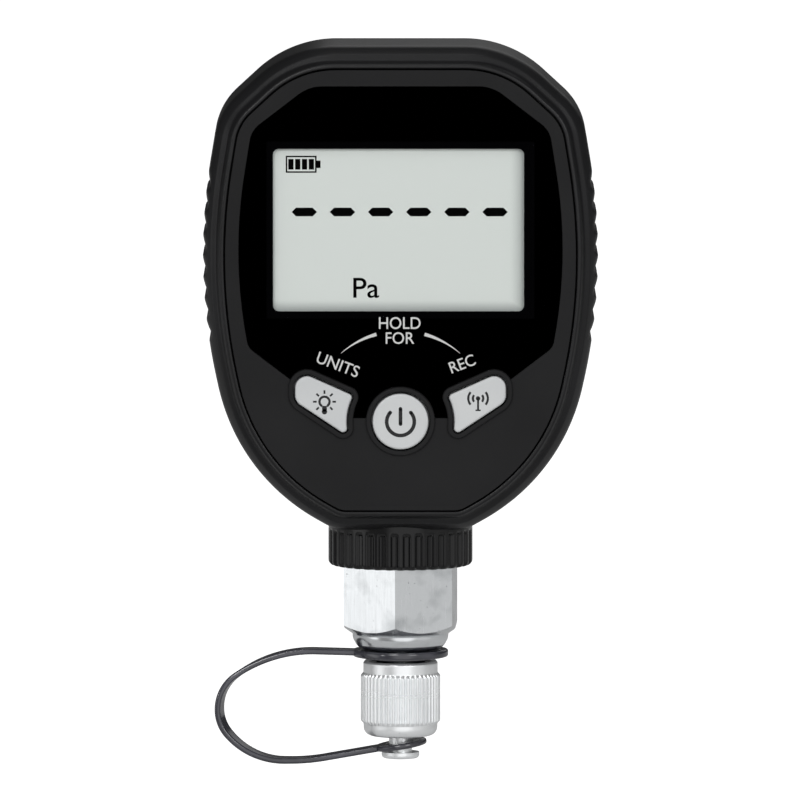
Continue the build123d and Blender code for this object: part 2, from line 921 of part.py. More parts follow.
def shoulder_rounding():
    """Points of the shoulder's elliptical foot, from its underside out to its side."""
    wide = shoulder_r - shoulder_foot_radius
    high = shoulder_side_bottom - shoulder_bottom
    points = []
    for step in range(shoulder_steps + 1):
        angle = math.pi / 2 * step / shoulder_steps
        points.append(
            (shoulder_foot_radius + wide * math.sin(angle), shoulder_side_bottom - high * math.cos(angle))
        )
    return points


def fitting():
    """Turned fitting: male flare, round shoulder, hexagon and threaded barrel, bored through."""
    corner = hex_corner_radius()
    hex_top = collar_bottom + collar_socket_depth - 0.1
    slope = math.tan(math.radians(hex_chamfer_angle))
    cone_bottom = hex_bottom - (hex_across_flats / 2 - shoulder_r) * slope
    cone_top = cone_bottom + (corner + 0.5 - shoulder_r) * slope
    hexagon = Plane.XY.offset(cone_bottom) * Rot(0, 0, hex_turn - 90) * RegularPolygon(corner, 6)
    prism = extrude(hexagon, hex_top - cone_bottom)
    envelope = turned(
        [
            (0, cone_bottom),
            (shoulder_r, cone_bottom),
            (corner + 0.5, cone_top),
            (corner + 0.5, hex_top - 0.6),
            (corner - 0.5, hex_top),
            (0, hex_top),
        ]
    )
    body = prism & envelope
    body += turned(
        [
            (0, cone_bottom + 0.1),
            (0, 0),
            (nose_radius, 0),
            (nose_radius + nose_length, nose_length),
            (flare_thread_radius, flare_thread_bottom),
            (flare_thread_radius, neck_bottom - 0.6),
            (neck_radius, neck_bottom),
            (neck_radius, shoulder_bottom),
            *shoulder_rounding(),
            (shoulder_r, cone_bottom + 0.1),
        ]
    )
    body += rod(barrel_radius, hex_top - 0.1, barrel_top)
    body -= rod(bore_radius, -1, chamber_bottom + 1)
    return body - rod(chamber_radius, chamber_bottom, barrel_top + 1)


def lock_nut():
    """Hexagon nut on the barrel, inside the case."""
    bottom = collar_top + neck_length
    blank = RegularPolygon(nut_across_flats / math.sqrt(3), 6) - Circle(barrel_radius + thread_fit)
    return extrude(Plane.XY.offset(bottom) * blank, nut_thickness)


def sensor_seal():
    """Ring that the sensor's flange seats on."""
    inner = sensor_flange_radius - sensor_seal_width
    return tube(sensor_flange_radius, inner, chamber_bottom, sensor_seat())


def sensor_seat():
    """Height of the underside of the sensor's flange."""
    return chamber_bottom + 1.0


def sensor_can():
    """Heated-wire sensor in a round metal can."""
    bottom = sensor_seat()
    top = bottom + sensor_can_height
    can = rod(sensor_flange_radius, bottom, bottom + sensor_flange_thickness)
    can += rod(sensor_can_radius, bottom, top)
    return chamfer(can.faces().sort_by(Axis.Z)[-1].edges(), 0.5)


def sensor_leads():
    """Lead wires from the can up through the sensor board."""
    bottom = sensor_seat() + sensor_can_height
    leads = []
    for index in range(sensor_leads_count):
        angle = math.radians(45 + 360 * index / sensor_leads_count)
        place = (sensor_lead_circle * math.cos(angle), sensor_lead_circle * math.sin(angle))
        leads.append(Pos(*place) * rod(sensor_lead_radius, bottom, barrel_top))
    return leads


def sensor_board():
    """Round board on the barrel's top end."""
    return rod(sensor_board_radius, barrel_top, barrel_top + sensor_board_thickness)


def sensor_flex():
    """Folded flat cable from the sensor board to the back of the main board."""
    foot = barrel_top + sensor_board_thickness
    face = board_depth - board_thickness
    line = [
        (0, foot + flex_thickness / 2),
        (-4.5, foot + flex_thickness / 2),
        (-face + flex_thickness / 2, board_bottom + flex_rise),
        (-face + flex_thickness / 2, board_bottom + flex_rise + flex_overlap),
    ]
    strip = Plane.YZ.offset(-flex_width / 2) * band_face(line, [1.2, 1.2], flex_thickness)
    return extrude(strip, flex_width)


# Cap and tether
def knurl_star():
    """Straight-knurled outline: one V groove between two teeth."""
    points = []
    for index in range(2 * cap_knurl_teeth):
        radius = cap_knurl_radius - (cap_knurl_depth if index % 2 else 0)
        angle = math.pi * index / cap_knurl_teeth
        points.append((radius * math.cos(angle), radius * math.sin(angle)))
    return make_face(Polyline(*points, close=True))


def flare_cap():
    """Knurled cap, bored for the male thread, with the rivet's hole in its floor."""
    knurl = extrude(Plane.XY.offset(cap_knurl_bottom) * knurl_star(), cap_knurl_top - cap_knurl_bottom)
    ends = cap_knurl_radius - cap_band_radius
    knurl &= turned(
        [
            (0, cap_knurl_bottom),
            (cap_foot_radius, cap_knurl_bottom),
            (cap_knurl_radius + 0.1, cap_knurl_bottom + ends),
            (cap_knurl_radius + 0.1, cap_knurl_top - ends),
            (cap_band_radius, cap_knurl_top),
            (0, cap_knurl_top),
        ]
    )
    core = turned(
        [
            (0, cap_bottom),
            (cap_foot_radius, cap_bottom),
            (cap_foot_radius, cap_knurl_bottom),
            (cap_band_radius, cap_knurl_bottom),
            (cap_band_radius, cap_top - 0.4),
            (cap_band_radius - 0.33, cap_top),
            (0, cap_top),
        ]
    )
    foot = [e for e in core.edges().filter_by(GeomType.CIRCLE) if e.center().Z < cap_bottom + 0.1]
    cap = fillet(foot, cap_foot_round) + knurl
    bore = flare_thread_radius + cap_bore_fit
    cap -= rod(bore, cap_bottom + cap_floor, cap_top + 1)
    cap -= rod(rivet_radius + rivet_fit, cap_bottom - 1, cap_top)
    mouth_bottom = cap_top - cap_mouth_depth
    mouth = [(0, cap_top), (cap_mouth_radius, cap_top), (bore, mouth_bottom), (0, mouth_bottom)]
    return cap - turned(mouth)


def cap_seal():
    """Sealing disc inside the cap, under the flare's nose."""
    radius = flare_thread_radius - 0.1
    return rod(radius, -cap_seal_gap - cap_seal_thickness, -cap_seal_gap)


def cap_rivet():
    """Swivel rivet through the cap's floor: inner head, shank and domed outer head."""
    floor_top = cap_bottom + cap_floor
    bottom = rivet_head_top - rivet_head_thickness
    rivet = rod(rivet_radius, rivet_head_top, floor_top + 0.1)
    rivet += rod(rivet_inner_head_radius, floor_top + 0.05, floor_top + 0.05 + rivet_inner_head_thickness)
    head = rod(rivet_head_radius, bottom, rivet_head_top)
    low = [e for e in head.edges().filter_by(GeomType.CIRCLE) if e.center().Z < bottom + 0.1]
    return rivet + fillet(low, 0.7)


def cap_tether():
    """Moulded strap: ring and hub round the fitting's neck, looped band and tilted eyelet."""
    ring_top = shoulder_bottom - ring_gap
    ring_bottom = ring_top - ring_thickness
    strap = tube(ring_outer_radius, ring_inner_radius, ring_bottom, ring_top)
    strap += tube(hub_radius, ring_inner_radius, ring_bottom - hub_drop, ring_bottom)
    tilt = math.tan(math.radians(eyelet_tilt))
    last = (-eyelet_outer_radius + 1.0, eyelet_z - (eyelet_outer_radius - 1.0) * tilt)
    band = band_face([*tether_line, last], tether_radii, tether_thickness)
    strap += extrude(Plane.XZ.offset(-tether_width / 2) * band, tether_width)
    eyelet = tube(eyelet_outer_radius, eyelet_inner_radius, -tether_thickness / 2, tether_thickness / 2)
    strap += Pos(0, 0, eyelet_z) * Rot(0, -eyelet_tilt, 0) * eyelet
    neck_hole = rod(ring_inner_radius, ring_top - 3 * ring_thickness, ring_top + ring_thickness)
    return strap - neck_hole


NODES = {
    "bumper": bumper,
    "front_case": front_case,
    "rear_case": rear_case,
    "case_gasket": case_gasket,
    "case_screws": case_screws,
    "display_lens": display_lens,
    "lcd_glass": lcd_glass,
    "lcd_frame": lcd_frame,
    "backlight": backlight,
    "zebra_strips": zebra_strips,
    "main_pcb": main_pcb,
    "processor_chip": processor_chip,
    "radio_module": radio_module,
    "keypad_mat": keypad_mat,
    "power_key": power_key,
    "light_key": light_key,
    "link_key": link_key,
    "batteries": batteries,
    "battery_contacts": battery_contacts,
    "battery_cover": battery_cover,
    "battery_cover_screw": battery_cover_screw,
    "collar_nut": collar_nut,
    "neck_seal": neck_seal,
    "lock_nut": lock_nut,
    "fitting": fitting,
    "sensor_seal": sensor_seal,
    "sensor_can": sensor_can,
    "sensor_leads": sensor_leads,
    "sensor_board": sensor_board,
    "sensor_flex": sensor_flex,
    "flare_cap": flare_cap,
    "cap_seal": cap_seal,
    "cap_rivet": cap_rivet,
    "cap_tether": cap_tether,
}


def main():
    """Write one STEP file for each node."""
    os.makedirs("parts", exist_ok=True)
    for name, build in NODES.items():
        made = build()
        solids = made if isinstance(made, list) else made.solids()
        shapes = [solid for shape in solids for solid in shape.solids()]
        export_step(shapes[0] if len(shapes) == 1 else Compound(shapes), f"parts/{name}.step")


main()
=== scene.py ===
"""Looks of a digital vacuum gauge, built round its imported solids.

The classes hold their sizes in millimetres, as a drawing does, and MM turns them into the
frame's metres. The display faces -Y, +Z is up, and the origin is the tip of the flare.
"""

from __future__ import annotations

import sys

import logging
import math
from collections.abc import Callable, Iterable, Sequence
from dataclasses import dataclass, field
from enum import Enum

import bmesh
import bpy
from mathutils import Matrix, Vector


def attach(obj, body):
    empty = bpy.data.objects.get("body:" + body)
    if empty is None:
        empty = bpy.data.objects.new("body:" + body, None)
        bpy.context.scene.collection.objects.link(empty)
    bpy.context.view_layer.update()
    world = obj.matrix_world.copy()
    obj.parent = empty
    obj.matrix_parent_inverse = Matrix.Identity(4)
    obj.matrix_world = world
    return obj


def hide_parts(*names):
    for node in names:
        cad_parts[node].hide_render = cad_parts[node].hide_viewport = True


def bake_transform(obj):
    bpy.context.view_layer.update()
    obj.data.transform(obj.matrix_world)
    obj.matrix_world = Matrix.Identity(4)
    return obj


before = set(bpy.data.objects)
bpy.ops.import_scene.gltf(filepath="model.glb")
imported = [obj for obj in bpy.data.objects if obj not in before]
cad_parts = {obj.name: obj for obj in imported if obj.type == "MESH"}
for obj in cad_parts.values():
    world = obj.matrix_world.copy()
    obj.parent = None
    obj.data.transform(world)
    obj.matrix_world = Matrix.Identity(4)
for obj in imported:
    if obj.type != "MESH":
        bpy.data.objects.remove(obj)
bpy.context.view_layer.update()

MM = 0.001
LOG = logging.getLogger("vacuum_gauge")

Point = tuple[float, float]
Corner = tuple[float, float, float]
Face = tuple[int, ...]


# Shader helpers
def linear(hex_colour: str) -> tuple[float, float, float, float]:
    """Turns an sRGB hex value into the linear colour that shaders use.

    Args:
        hex_colour: Six hex digits after a hash sign.

    Returns:
        Red, green, blue and an alpha of 1.
    """
    shares = [int(hex_colour[place : place + 2], 16) / 255 for place in (1, 3, 5)]
    red, green, blue = (s / 12.92 if s <= 0.04045 else ((s + 0.055) / 1.055) ** 2.4 for s in shares)
    return red, green, blue, 1.0


def add_node(
    tree: bpy.types.NodeTree,
    kind: str,
    settings: dict[str | int, object] | None = None,
    links: dict[str | int, bpy.types.NodeSocket] | None = None,
) -> bpy.types.Node:
    """Adds one node with its settings and links.

    Args:
        tree: The node tree that gets the node.
        kind: The node's Blender type.
        settings: Input sockets by name or number, or else the node's own properties.
        links: Input sockets by name or number, each with the output that feeds it.

    Returns:
        The new node.
    """
    node = tree.nodes.new(kind)
    for name, value in (settings or {}).items():
        if isinstance(name, int) or name in node.inputs:
            node.inputs[name].default_value = value
        else:
            setattr(node, name, value)
    for name, source in (links or {}).items():
        tree.links.new(source, node.inputs[name])
    return node


def new_material(name: str) -> tuple[bpy.types.Material, bpy.types.NodeTree, bpy.types.NodeSocket]:
    """Starts a material and gives its tree and the surface socket to link a shader to."""
    material = bpy.data.materials.new(name)
    material.use_nodes = True
    tree = material.node_tree
    tree.nodes.clear()
    output = add_node(tree, "ShaderNodeOutputMaterial")
    return material, tree, output.inputs["Surface"]


class Lay(Enum):
    """Direction of a surface's fine marks, as the share of each axis in the pattern."""

    EVEN = (1.0, 1.0, 1.0)
    AROUND = (0.04, 0.04, 1.0)
    ALONG = (1.0, 1.0, 0.04)


# Finishes
@dataclass(frozen=True)
class MouldedFinish:
    """A moulded plastic or rubber: cloudy colour and the fine grain of the tool.

    Attributes:
        name: What the real material is.
        colour: Its usual colour.
        cloud: Colour of its paler or dustier patches.
        roughness: How far it scatters reflections.
        grain_mm: Size of one grain of its texture.
        relief_mm: Height of the grain.
        cloud_mm: Size of a patch.
        specular: Strength of its reflection, 0.5 for a plain plastic.
    """

    name: str
    colour: str
    cloud: str
    roughness: float
    grain_mm: float = 0.45
    relief_mm: float = 0.012
    cloud_mm: float = 16.0
    specular: float = 0.5

    def material(self) -> bpy.types.Material:
        """Builds the material."""
        material, tree, surface = new_material(self.name)
        place = add_node(tree, "ShaderNodeTexCoord").outputs["Object"]
        grain = add_node(
            tree, "ShaderNodeTexNoise", {"Scale": 1 / (self.grain_mm * MM), "Detail": 2.0}, {"Vector": place}
        )
        cloud = add_node(
            tree, "ShaderNodeTexNoise", {"Scale": 1 / (self.cloud_mm * MM), "Detail": 4.0}, {"Vector": place}
        )
        share = add_node(
            tree, "ShaderNodeMapRange", {"From Min": 0.35, "From Max": 0.7}, {"Value": cloud.outputs["Fac"]}
        )
        colour = add_node(
            tree,
            "ShaderNodeMixRGB",
            {"Color1": linear(self.colour), "Color2": linear(self.cloud)},
            {"Fac": share.outputs["Result"]},
        )
        gloss = add_node(
            tree,
            "ShaderNodeMapRange",
            {"To Min": self.roughness - 0.05, "To Max": self.roughness + 0.05},
            {"Value": grain.outputs["Fac"]},
        )
        bump = add_node(
            tree,
            "ShaderNodeBump",
            {"Strength": 1.0, "Distance": self.relief_mm * MM},
            {"Height": grain.outputs["Fac"]},
        )
        shader = add_node(
            tree,
            "ShaderNodeBsdfPrincipled",
            {"Specular IOR Level": self.specular},
            {
                "Base Color": colour.outputs["Color"],
                "Roughness": gloss.outputs["Result"],
                "Normal": bump.outputs["Normal"],
            },
        )
        tree.links.new(shader.outputs["BSDF"], surface)
        return material


@dataclass(frozen=True)
class MachinedFinish:
    """A machined or plated metal: tool marks in one direction, soft stains and a few pits.

    Attributes:
        name: What the real metal is.
        colour: Its clean colour.
        stain: Colour of its stains and pits.
        roughness: How far it scatters reflections.
        lay: Direction of the tool marks.
        mark_mm: Spacing of the marks.
        relief_mm: Depth of the marks.
        stain_mm: Size of a stain.
        stain_share: Strength of its stains, from 0 to 1.
        pit_mm: Size of a pit.
        turned_below_mm: Height under which the marks run around Z whatever the lay.
        metallic: 1 for a bare mirror-like metal, less where its plating is milky.
    """

    name: str
    colour: str
    stain: str
    roughness: float
    lay: Lay
    mark_mm: float = 0.3
    relief_mm: float = 0.006
    stain_mm: float = 5.0
    stain_share: float = 0.5
    pit_mm: float = 0.7
    turned_below_mm: float = -100.0
    metallic: float = 1.0

    def marks(self, tree: bpy.types.NodeTree, place: bpy.types.NodeSocket, lay: Lay) -> bpy.types.NodeSocket:
        """Gives the height of the tool marks for one lay."""
        stretched = add_node(tree, "ShaderNodeMapping", {"Scale": lay.value}, {"Vector": place})
        noise = add_node(
            tree,
            "ShaderNodeTexNoise",
            {"Scale": 1 / (self.mark_mm * MM), "Detail": 3.0, "Roughness": 0.6},
            {"Vector": stretched.outputs["Vector"]},
        )
        return noise.outputs["Fac"]

    def material(self) -> bpy.types.Material:
        """Builds the material."""
        material, tree, surface = new_material(self.name)
        place = add_node(tree, "ShaderNodeTexCoord").outputs["Object"]
        height = add_node(tree, "ShaderNodeSeparateXYZ", links={"Vector": place}).outputs["Z"]
        is_milled = add_node(
            tree, "ShaderNodeMath", {"operation": "GREATER_THAN", 1: self.turned_below_mm * MM}, {0: height}
        )
        lines = add_node(
            tree,
            "ShaderNodeMixRGB",
            links={
                "Fac": is_milled.outputs["Value"],
                "Color1": self.marks(tree, place, Lay.AROUND),
                "Color2": self.marks(tree, place, self.lay),
            },
        )
        blots = add_node(
            tree,
            "ShaderNodeTexNoise",
            {"Scale": 1 / (self.stain_mm * MM), "Detail": 2.0, "Roughness": 0.5},
            {"Vector": place},
        )
        blotted = add_node(
            tree,
            "ShaderNodeMapRange",
            {"From Min": 0.5, "From Max": 0.75, "To Max": self.stain_share},
            {"Value": blots.outputs["Fac"]},
        )
        specks = add_node(
            tree, "ShaderNodeTexNoise", {"Scale": 1 / (self.pit_mm * MM), "Detail": 1.0}, {"Vector": place}
        )
        pitted = add_node(
            tree,
            "ShaderNodeMapRange",
            {"From Min": 0.73, "From Max": 0.8, "To Max": self.stain_share * 1.6},
            {"Value": specks.outputs["Fac"]},
        )
        stained = add_node(
            tree,
            "ShaderNodeMath",
            {"operation": "MAXIMUM"},
            {0: blotted.outputs["Result"], 1: pitted.outputs["Result"]},
        )
        colour = add_node(
            tree,
            "ShaderNodeMixRGB",
            {"Color1": linear(self.colour), "Color2": linear(self.stain)},
            {"Fac": stained.outputs["Value"]},
        )
        gloss = add_node(
            tree,
            "ShaderNodeMapRange",
            {
                "From Min": 0.3,
                "From Max": 0.7,
                "To Min": self.roughness - 0.06,
                "To Max": self.roughness + 0.08,
            },
            {"Value": lines.outputs["Color"]},
        )
        bump = add_node(
            tree,
            "ShaderNodeBump",
            {"Strength": 1.0, "Distance": self.relief_mm * MM},
            {"Height": lines.outputs["Color"]},
        )
        shader = add_node(
            tree,
            "ShaderNodeBsdfPrincipled",
            {"Metallic": self.metallic},
            {
                "Base Color": colour.outputs["Color"],
                "Roughness": gloss.outputs["Result"],
                "Normal": bump.outputs["Normal"],
            },
        )
        tree.links.new(shader.outputs["BSDF"], surface)
        return material


@dataclass(frozen=True)
class InkFinish:
    """A screen-printed ink: one colour, a little uneven where the mesh laid it down.

    Attributes:
        name: What the ink is.
        colour: Its colour where it lies thick.
        thin: Its colour where it lies thin.
        roughness: How far it scatters reflections.
        specular: Strength of its reflection.
        mesh_mm: Spacing of the unevenness.
    """

    name: str
    colour: str
    thin: str
    roughness: float = 0.5
    specular: float = 0.1
    mesh_mm: float = 0.4

    def material(self) -> bpy.types.Material:
        """Builds the material."""
        material, tree, surface = new_material(self.name)
        place = add_node(tree, "ShaderNodeTexCoord").outputs["Object"]
        noise = add_node(tree, "ShaderNodeTexNoise", {"Scale": 1 / (self.mesh_mm * MM)}, {"Vector": place})
        colour = add_node(
            tree,
            "ShaderNodeMixRGB",
            {"Color1": linear(self.colour), "Color2": linear(self.thin)},
            {"Fac": noise.outputs["Fac"]},
        )
        shader = add_node(
            tree,
            "ShaderNodeBsdfPrincipled",
            {"Roughness": self.roughness, "Specular IOR Level": self.specular},
            {"Base Color": colour.outputs["Color"]},
        )
        tree.links.new(shader.outputs["BSDF"], surface)
        return material


@dataclass(frozen=True)
class LensFinish:
    """Hard-coated acrylic, printed black on its back except for a clear window.

    Attributes:
        name: What the lens is.
        colour: The black of the print seen through the plate.
        middle_x_mm: Place of the window's middle, to the right.
        middle_mm: Height of the window's middle.
        width_mm: Width of the window.
        height_mm: Height of the window.
        corner_mm: Radius of the window's corners.
        back_mm: Forward depth in front of which the plate is clear all over.
        window_tint: How much light each clear face keeps back.
        coating: Strength of its reflection when seen straight on, behind its thin coating.
    """

    name: str
    colour: str
    middle_x_mm: float = -0.4
    middle_mm: float = 101.72
    width_mm: float = 50.86
    height_mm: float = 33.0
    corner_mm: float = 1.2
    back_mm: float = 18.2
    window_tint: float = 0.02
    coating: float = 0.004

    def material(self) -> bpy.types.Material:
        """Builds the material."""
        material, tree, surface = new_material(self.name)
        place = add_node(tree, "ShaderNodeTexCoord").outputs["Object"]
        middle = (self.middle_x_mm * MM, 0.0, self.middle_mm * MM)
        reach = (
            (self.width_mm / 2 - self.corner_mm) * MM,
            1.0,
            (self.height_mm / 2 - self.corner_mm) * MM,
        )
        moved = add_node(tree, "ShaderNodeVectorMath", {"operation": "SUBTRACT", 1: middle}, {0: place})
        folded = add_node(
            tree, "ShaderNodeVectorMath", {"operation": "ABSOLUTE"}, {0: moved.outputs["Vector"]}
        )
        past = add_node(
            tree, "ShaderNodeVectorMath", {"operation": "SUBTRACT", 1: reach}, {0: folded.outputs["Vector"]}
        )
        outside = add_node(
            tree,
            "ShaderNodeVectorMath",
            {"operation": "MAXIMUM", 1: (0.0, 0.0, 0.0)},
            {0: past.outputs["Vector"]},
        )
        distance = add_node(
            tree, "ShaderNodeVectorMath", {"operation": "LENGTH"}, {0: outside.outputs["Vector"]}
        )
        printed = add_node(
            tree,
            "ShaderNodeMath",
            {"operation": "GREATER_THAN", 1: self.corner_mm * MM},
            {0: distance.outputs["Value"]},
        )
        level = add_node(tree, "ShaderNodeSeparateXYZ", links={"Vector": place}).outputs["Y"]
        behind = add_node(
            tree, "ShaderNodeMath", {"operation": "GREATER_THAN", 1: -self.back_mm * MM}, {0: level}
        )
        inked = add_node(
            tree,
            "ShaderNodeMath",
            {"operation": "MULTIPLY"},
            {0: printed.outputs["Value"], 1: behind.outputs["Value"]},
        )
        opaque = add_node(
            tree, "ShaderNodeMapRange", {"To Min": self.window_tint}, {"Value": inked.outputs["Value"]}
        )
        haze = add_node(
            tree, "ShaderNodeTexNoise", {"Scale": 1 / (9.0 * MM), "Detail": 3.0}, {"Vector": place}
        )
        gloss = add_node(
            tree, "ShaderNodeMapRange", {"To Min": 0.05, "To Max": 0.12}, {"Value": haze.outputs["Fac"]}
        )
        slant = add_node(tree, "ShaderNodeLayerWeight").outputs["Facing"]
        shine = add_node(
            tree,
            "ShaderNodeMapRange",
            {"From Min": 0.1, "From Max": 0.6, "To Min": self.coating, "To Max": 0.5},
            {"Value": slant},
        )
        shader = add_node(
            tree,
            "ShaderNodeBsdfPrincipled",
            {"Base Color": linear(self.colour), "IOR": 1.49},
            {
                "Alpha": opaque.outputs["Result"],
                "Roughness": gloss.outputs["Result"],
                "Specular IOR Level": shine.outputs["Result"],
            },
        )
        tree.links.new(shader.outputs["BSDF"], surface)
        return material


@dataclass(frozen=True)
class DisplayFinish:
    """The polariser of a reflective display: a pale grey green, with painted shade that darkens it at the
    right and below.

    Attributes:
        name: What the display's face is.
        colour: Its colour in the middle.
        edge: Its painted shade colour at the right and lower edge, standing in for the shade where less light
            reaches it.
        middle_mm: Height of its middle.
        half_width_mm: Half its shown width.
        half_height_mm: Half its shown height.
    """

    name: str
    colour: str
    edge: str
    middle_mm: float = 101.75
    half_width_mm: float = 25.5
    half_height_mm: float = 16.4

    def material(self) -> bpy.types.Material:
        """Builds the material."""
        material, tree, surface = new_material(self.name)
        place = add_node(tree, "ShaderNodeTexCoord").outputs["Object"]
        shrunk = add_node(
            tree,
            "ShaderNodeMapping",
            {
                "Location": (0.0, 0.0, self.middle_mm / self.half_height_mm),
                "Scale": (1 / (self.half_width_mm * MM), 0.0, -1 / (self.half_height_mm * MM)),
            },
            {"Vector": place},
        )
        parts = add_node(tree, "ShaderNodeSeparateXYZ", links={"Vector": shrunk.outputs["Vector"]})
        outermost = add_node(
            tree, "ShaderNodeMath", {"operation": "MAXIMUM"}, {0: parts.outputs["X"], 1: parts.outputs["Z"]}
        )
        # Painted shade: the colour turns to the edge colour towards the right and lower edges.
        shaded = add_node(
            tree,
            "ShaderNodeMapRange",
            {"interpolation_type": "SMOOTHSTEP", "From Min": 0.86, "From Max": 1.0},
            {"Value": outermost.outputs["Value"]},
        )
        grain = add_node(tree, "ShaderNodeTexNoise", {"Scale": 1 / (0.5 * MM)}, {"Vector": place})
        colour = add_node(
            tree,
            "ShaderNodeMixRGB",
            {"Color1": linear(self.colour), "Color2": linear(self.edge)},
            {"Fac": shaded.outputs["Result"]},
        )
        gloss = add_node(
            tree, "ShaderNodeMapRange", {"To Min": 0.45, "To Max": 0.6}, {"Value": grain.outputs["Fac"]}
        )
        shader = add_node(
            tree,
            "ShaderNodeBsdfPrincipled",
            {"Specular IOR Level": 0.2},
            {"Base Color": colour.outputs["Color"], "Roughness": gloss.outputs["Result"]},
        )
        tree.links.new(shader.outputs["BSDF"], surface)
        return material


Finish = MouldedFinish | MachinedFinish | InkFinish | LensFinish | DisplayFinish

# Moulded thermoplastic rubber: a soft dull black that never mirrors anything
BUMPER_RUBBER = MouldedFinish("moulded_rubber", "#131314", "#18181A", 0.34, relief_mm=0.004, specular=0.28)
# Spark-eroded ABS: an even satin black, a little harder and closer than the rubber
CASE_ABS = MouldedFinish("spark_eroded_abs", "#19191A", "#1D1D1E", 0.55, relief_mm=0.008, specular=0.15)
# Glass-filled nylon, polished tool: edges of the ribs catch sharp glints
COLLAR_NYLON = MouldedFinish(
    "polished_nylon", "#0C0C0D", "#131314", 0.16, grain_mm=0.6, relief_mm=0.003, specular=0.33
)
# Polycarbonate key caps: light grey with a soft sheen
KEY_POLYCARBONATE = MouldedFinish("satin_polycarbonate", "#C6C8C9", "#CFD1D1", 0.38, relief_mm=0.003)
# Soft polyurethane strap: dark with a bluish wet-looking sheen
STRAP_URETHANE = MouldedFinish(
    "soft_urethane", "#2B2B32", "#3E3E47", 0.16, grain_mm=3.0, relief_mm=0.06, cloud_mm=6.0, specular=0.9
)
# Silicone sheet under the keys: dull mid grey
MAT_SILICONE = MouldedFinish("moulded_silicone", "#77797B", "#85878A", 0.6)
# Nitrile seals: dull black
SEAL_NITRILE = MouldedFinish("moulded_nitrile", "#18181A", "#222224", 0.5)
# White ABS display frame
FRAME_ABS = MouldedFinish("white_abs", "#D9DAD8", "#E4E4E1", 0.45)
# Cast acrylic light guide: milky white with a polish
GUIDE_ACRYLIC = MouldedFinish("cast_acrylic", "#E8EBEA", "#F2F4F3", 0.15, relief_mm=0.001)
# Layered conductive rubber: pinkish grey
STRIP_RUBBER = MouldedFinish("layered_rubber", "#A98588", "#8C6C6F", 0.6, grain_mm=0.3)
# Glass-epoxy board under green solder mask
BOARD_EPOXY = MouldedFinish("solder_masked_epoxy", "#1D5A37", "#2B6B45", 0.32, cloud_mm=3.0)
# Moulded chip package
CHIP_EPOXY = MouldedFinish("moulded_epoxy", "#1C1C1D", "#242425", 0.55)
# Polyimide film: amber
FLEX_POLYIMIDE = MouldedFinish("polyimide_film", "#B0691F", "#C07A2C", 0.25)
# Shrink sleeve on the cells: dark grey
CELL_SLEEVE = MouldedFinish("shrunk_sleeve", "#3A3C40", "#45484C", 0.25)
# Nickel-plated brass, hexagon left as drawn and the rest turned
FITTING_NICKEL = MachinedFinish(
    "drawn_and_turned_nickel",
    "#E8EBED",
    "#A0A4A6",
    0.2,
    Lay.ALONG,
    relief_mm=0.0012,
    turned_below_mm=18.2,
)
# Nickel-plated brass, turned all over: a milky bright plating with soft rings
CAP_NICKEL = MachinedFinish(
    "turned_nickel",
    "#FAFCFD",
    "#D2D7D9",
    0.3,
    Lay.AROUND,
    mark_mm=4.0,
    relief_mm=0.0002,
    stain_share=0.2,
    metallic=0.75,
)
# Zinc-plated steel screws
SCREW_ZINC = MachinedFinish("zinc_plated_steel", "#B9BBBE", "#8D8F92", 0.35, Lay.EVEN, mark_mm=0.5)
# Tinned steel shield
SHIELD_TIN = MachinedFinish("tinned_steel", "#C4C6C8", "#A6A9AC", 0.3, Lay.EVEN, mark_mm=0.8)
# Nickel-plated spring contacts
CONTACT_NICKEL = MachinedFinish("nickel_spring", "#C9C6BE", "#A5A29A", 0.28, Lay.ALONG)
# Turned brass nut
NUT_BRASS = MachinedFinish("milled_brass", "#C9A561", "#9C7A3C", 0.3, Lay.AROUND)
# White legend ink
LEGEND_INK = InkFinish("white_ink", "#D6D7D5", "#C6C7C6")
# Dark grey symbol ink on the keys
SYMBOL_INK = InkFinish("dark_grey_ink", "#2A2A2B", "#333334")
# A switched-on segment of the display: near black
SEGMENT_CRYSTAL = InkFinish("dark_liquid_crystal", "#020202", "#040404", roughness=0.7, specular=0.02)
# Lens and display
LENS_ACRYLIC = LensFinish("hard_coated_acrylic", "#030304")
# Display face: its second colour is painted shade at the right and lower edges.
DISPLAY_POLARISER = DisplayFinish("reflective_polariser", "#DDE3DF", "#B3B9B6")


# Mesh helpers
def mesh_object(
    name: str,
    points: Iterable[Sequence[float]],
    faces: Sequence[Face],
    material: bpy.types.Material,
    smooth_up_to: float = 35.0,
    closed: bool = True,
) -> bpy.types.Object:
    """Makes a mesh object from points in millimetres.

    Args:
        name: The piece's name.
        points: The vertices, in millimetres.
        faces: The faces, as vertex numbers.
        material: Its one material.
        smooth_up_to: Largest angle in degrees that is shaded as a curve.
        closed: True for a solid shape, whose faces are then turned outwards.

    Returns:
        The object, linked to the scene.
    """
    mesh = bpy.data.meshes.new(name)
    mesh.from_pydata([[value * MM for value in point] for point in points], [], faces)
    if closed:
        work = bmesh.new()
        work.from_mesh(mesh)
        bmesh.ops.recalc_face_normals(work, faces=work.faces)
        work.to_mesh(mesh)
        work.free()
    mesh.shade_smooth()
    mesh.set_sharp_from_angle(angle=math.radians(smooth_up_to))
    mesh.materials.append(material)
    item = bpy.data.objects.new(name, mesh)
    bpy.context.scene.collection.objects.link(item)
    return item


def grid_faces(rows: int, columns: int, closed_rows: bool = True, closed_columns: bool = True) -> list[Face]:
    """Lists the four-sided faces of a grid of points.

    Args:
        rows: How many rows of points.
        columns: How many points in each row.
        closed_rows: True if the last row joins the first.
        closed_columns: True if each row is a loop.

    Returns:
        The faces, as point numbers.
    """
    faces = []
    for row in range(rows if closed_rows else rows - 1):
        below = (row + 1) % rows
        for column in range(columns if closed_columns else columns - 1):
            beside = (column + 1) % columns
            here, next_row = row * columns, below * columns
            faces.append((here + column, here + beside, next_row + beside, next_row + column))
    return faces


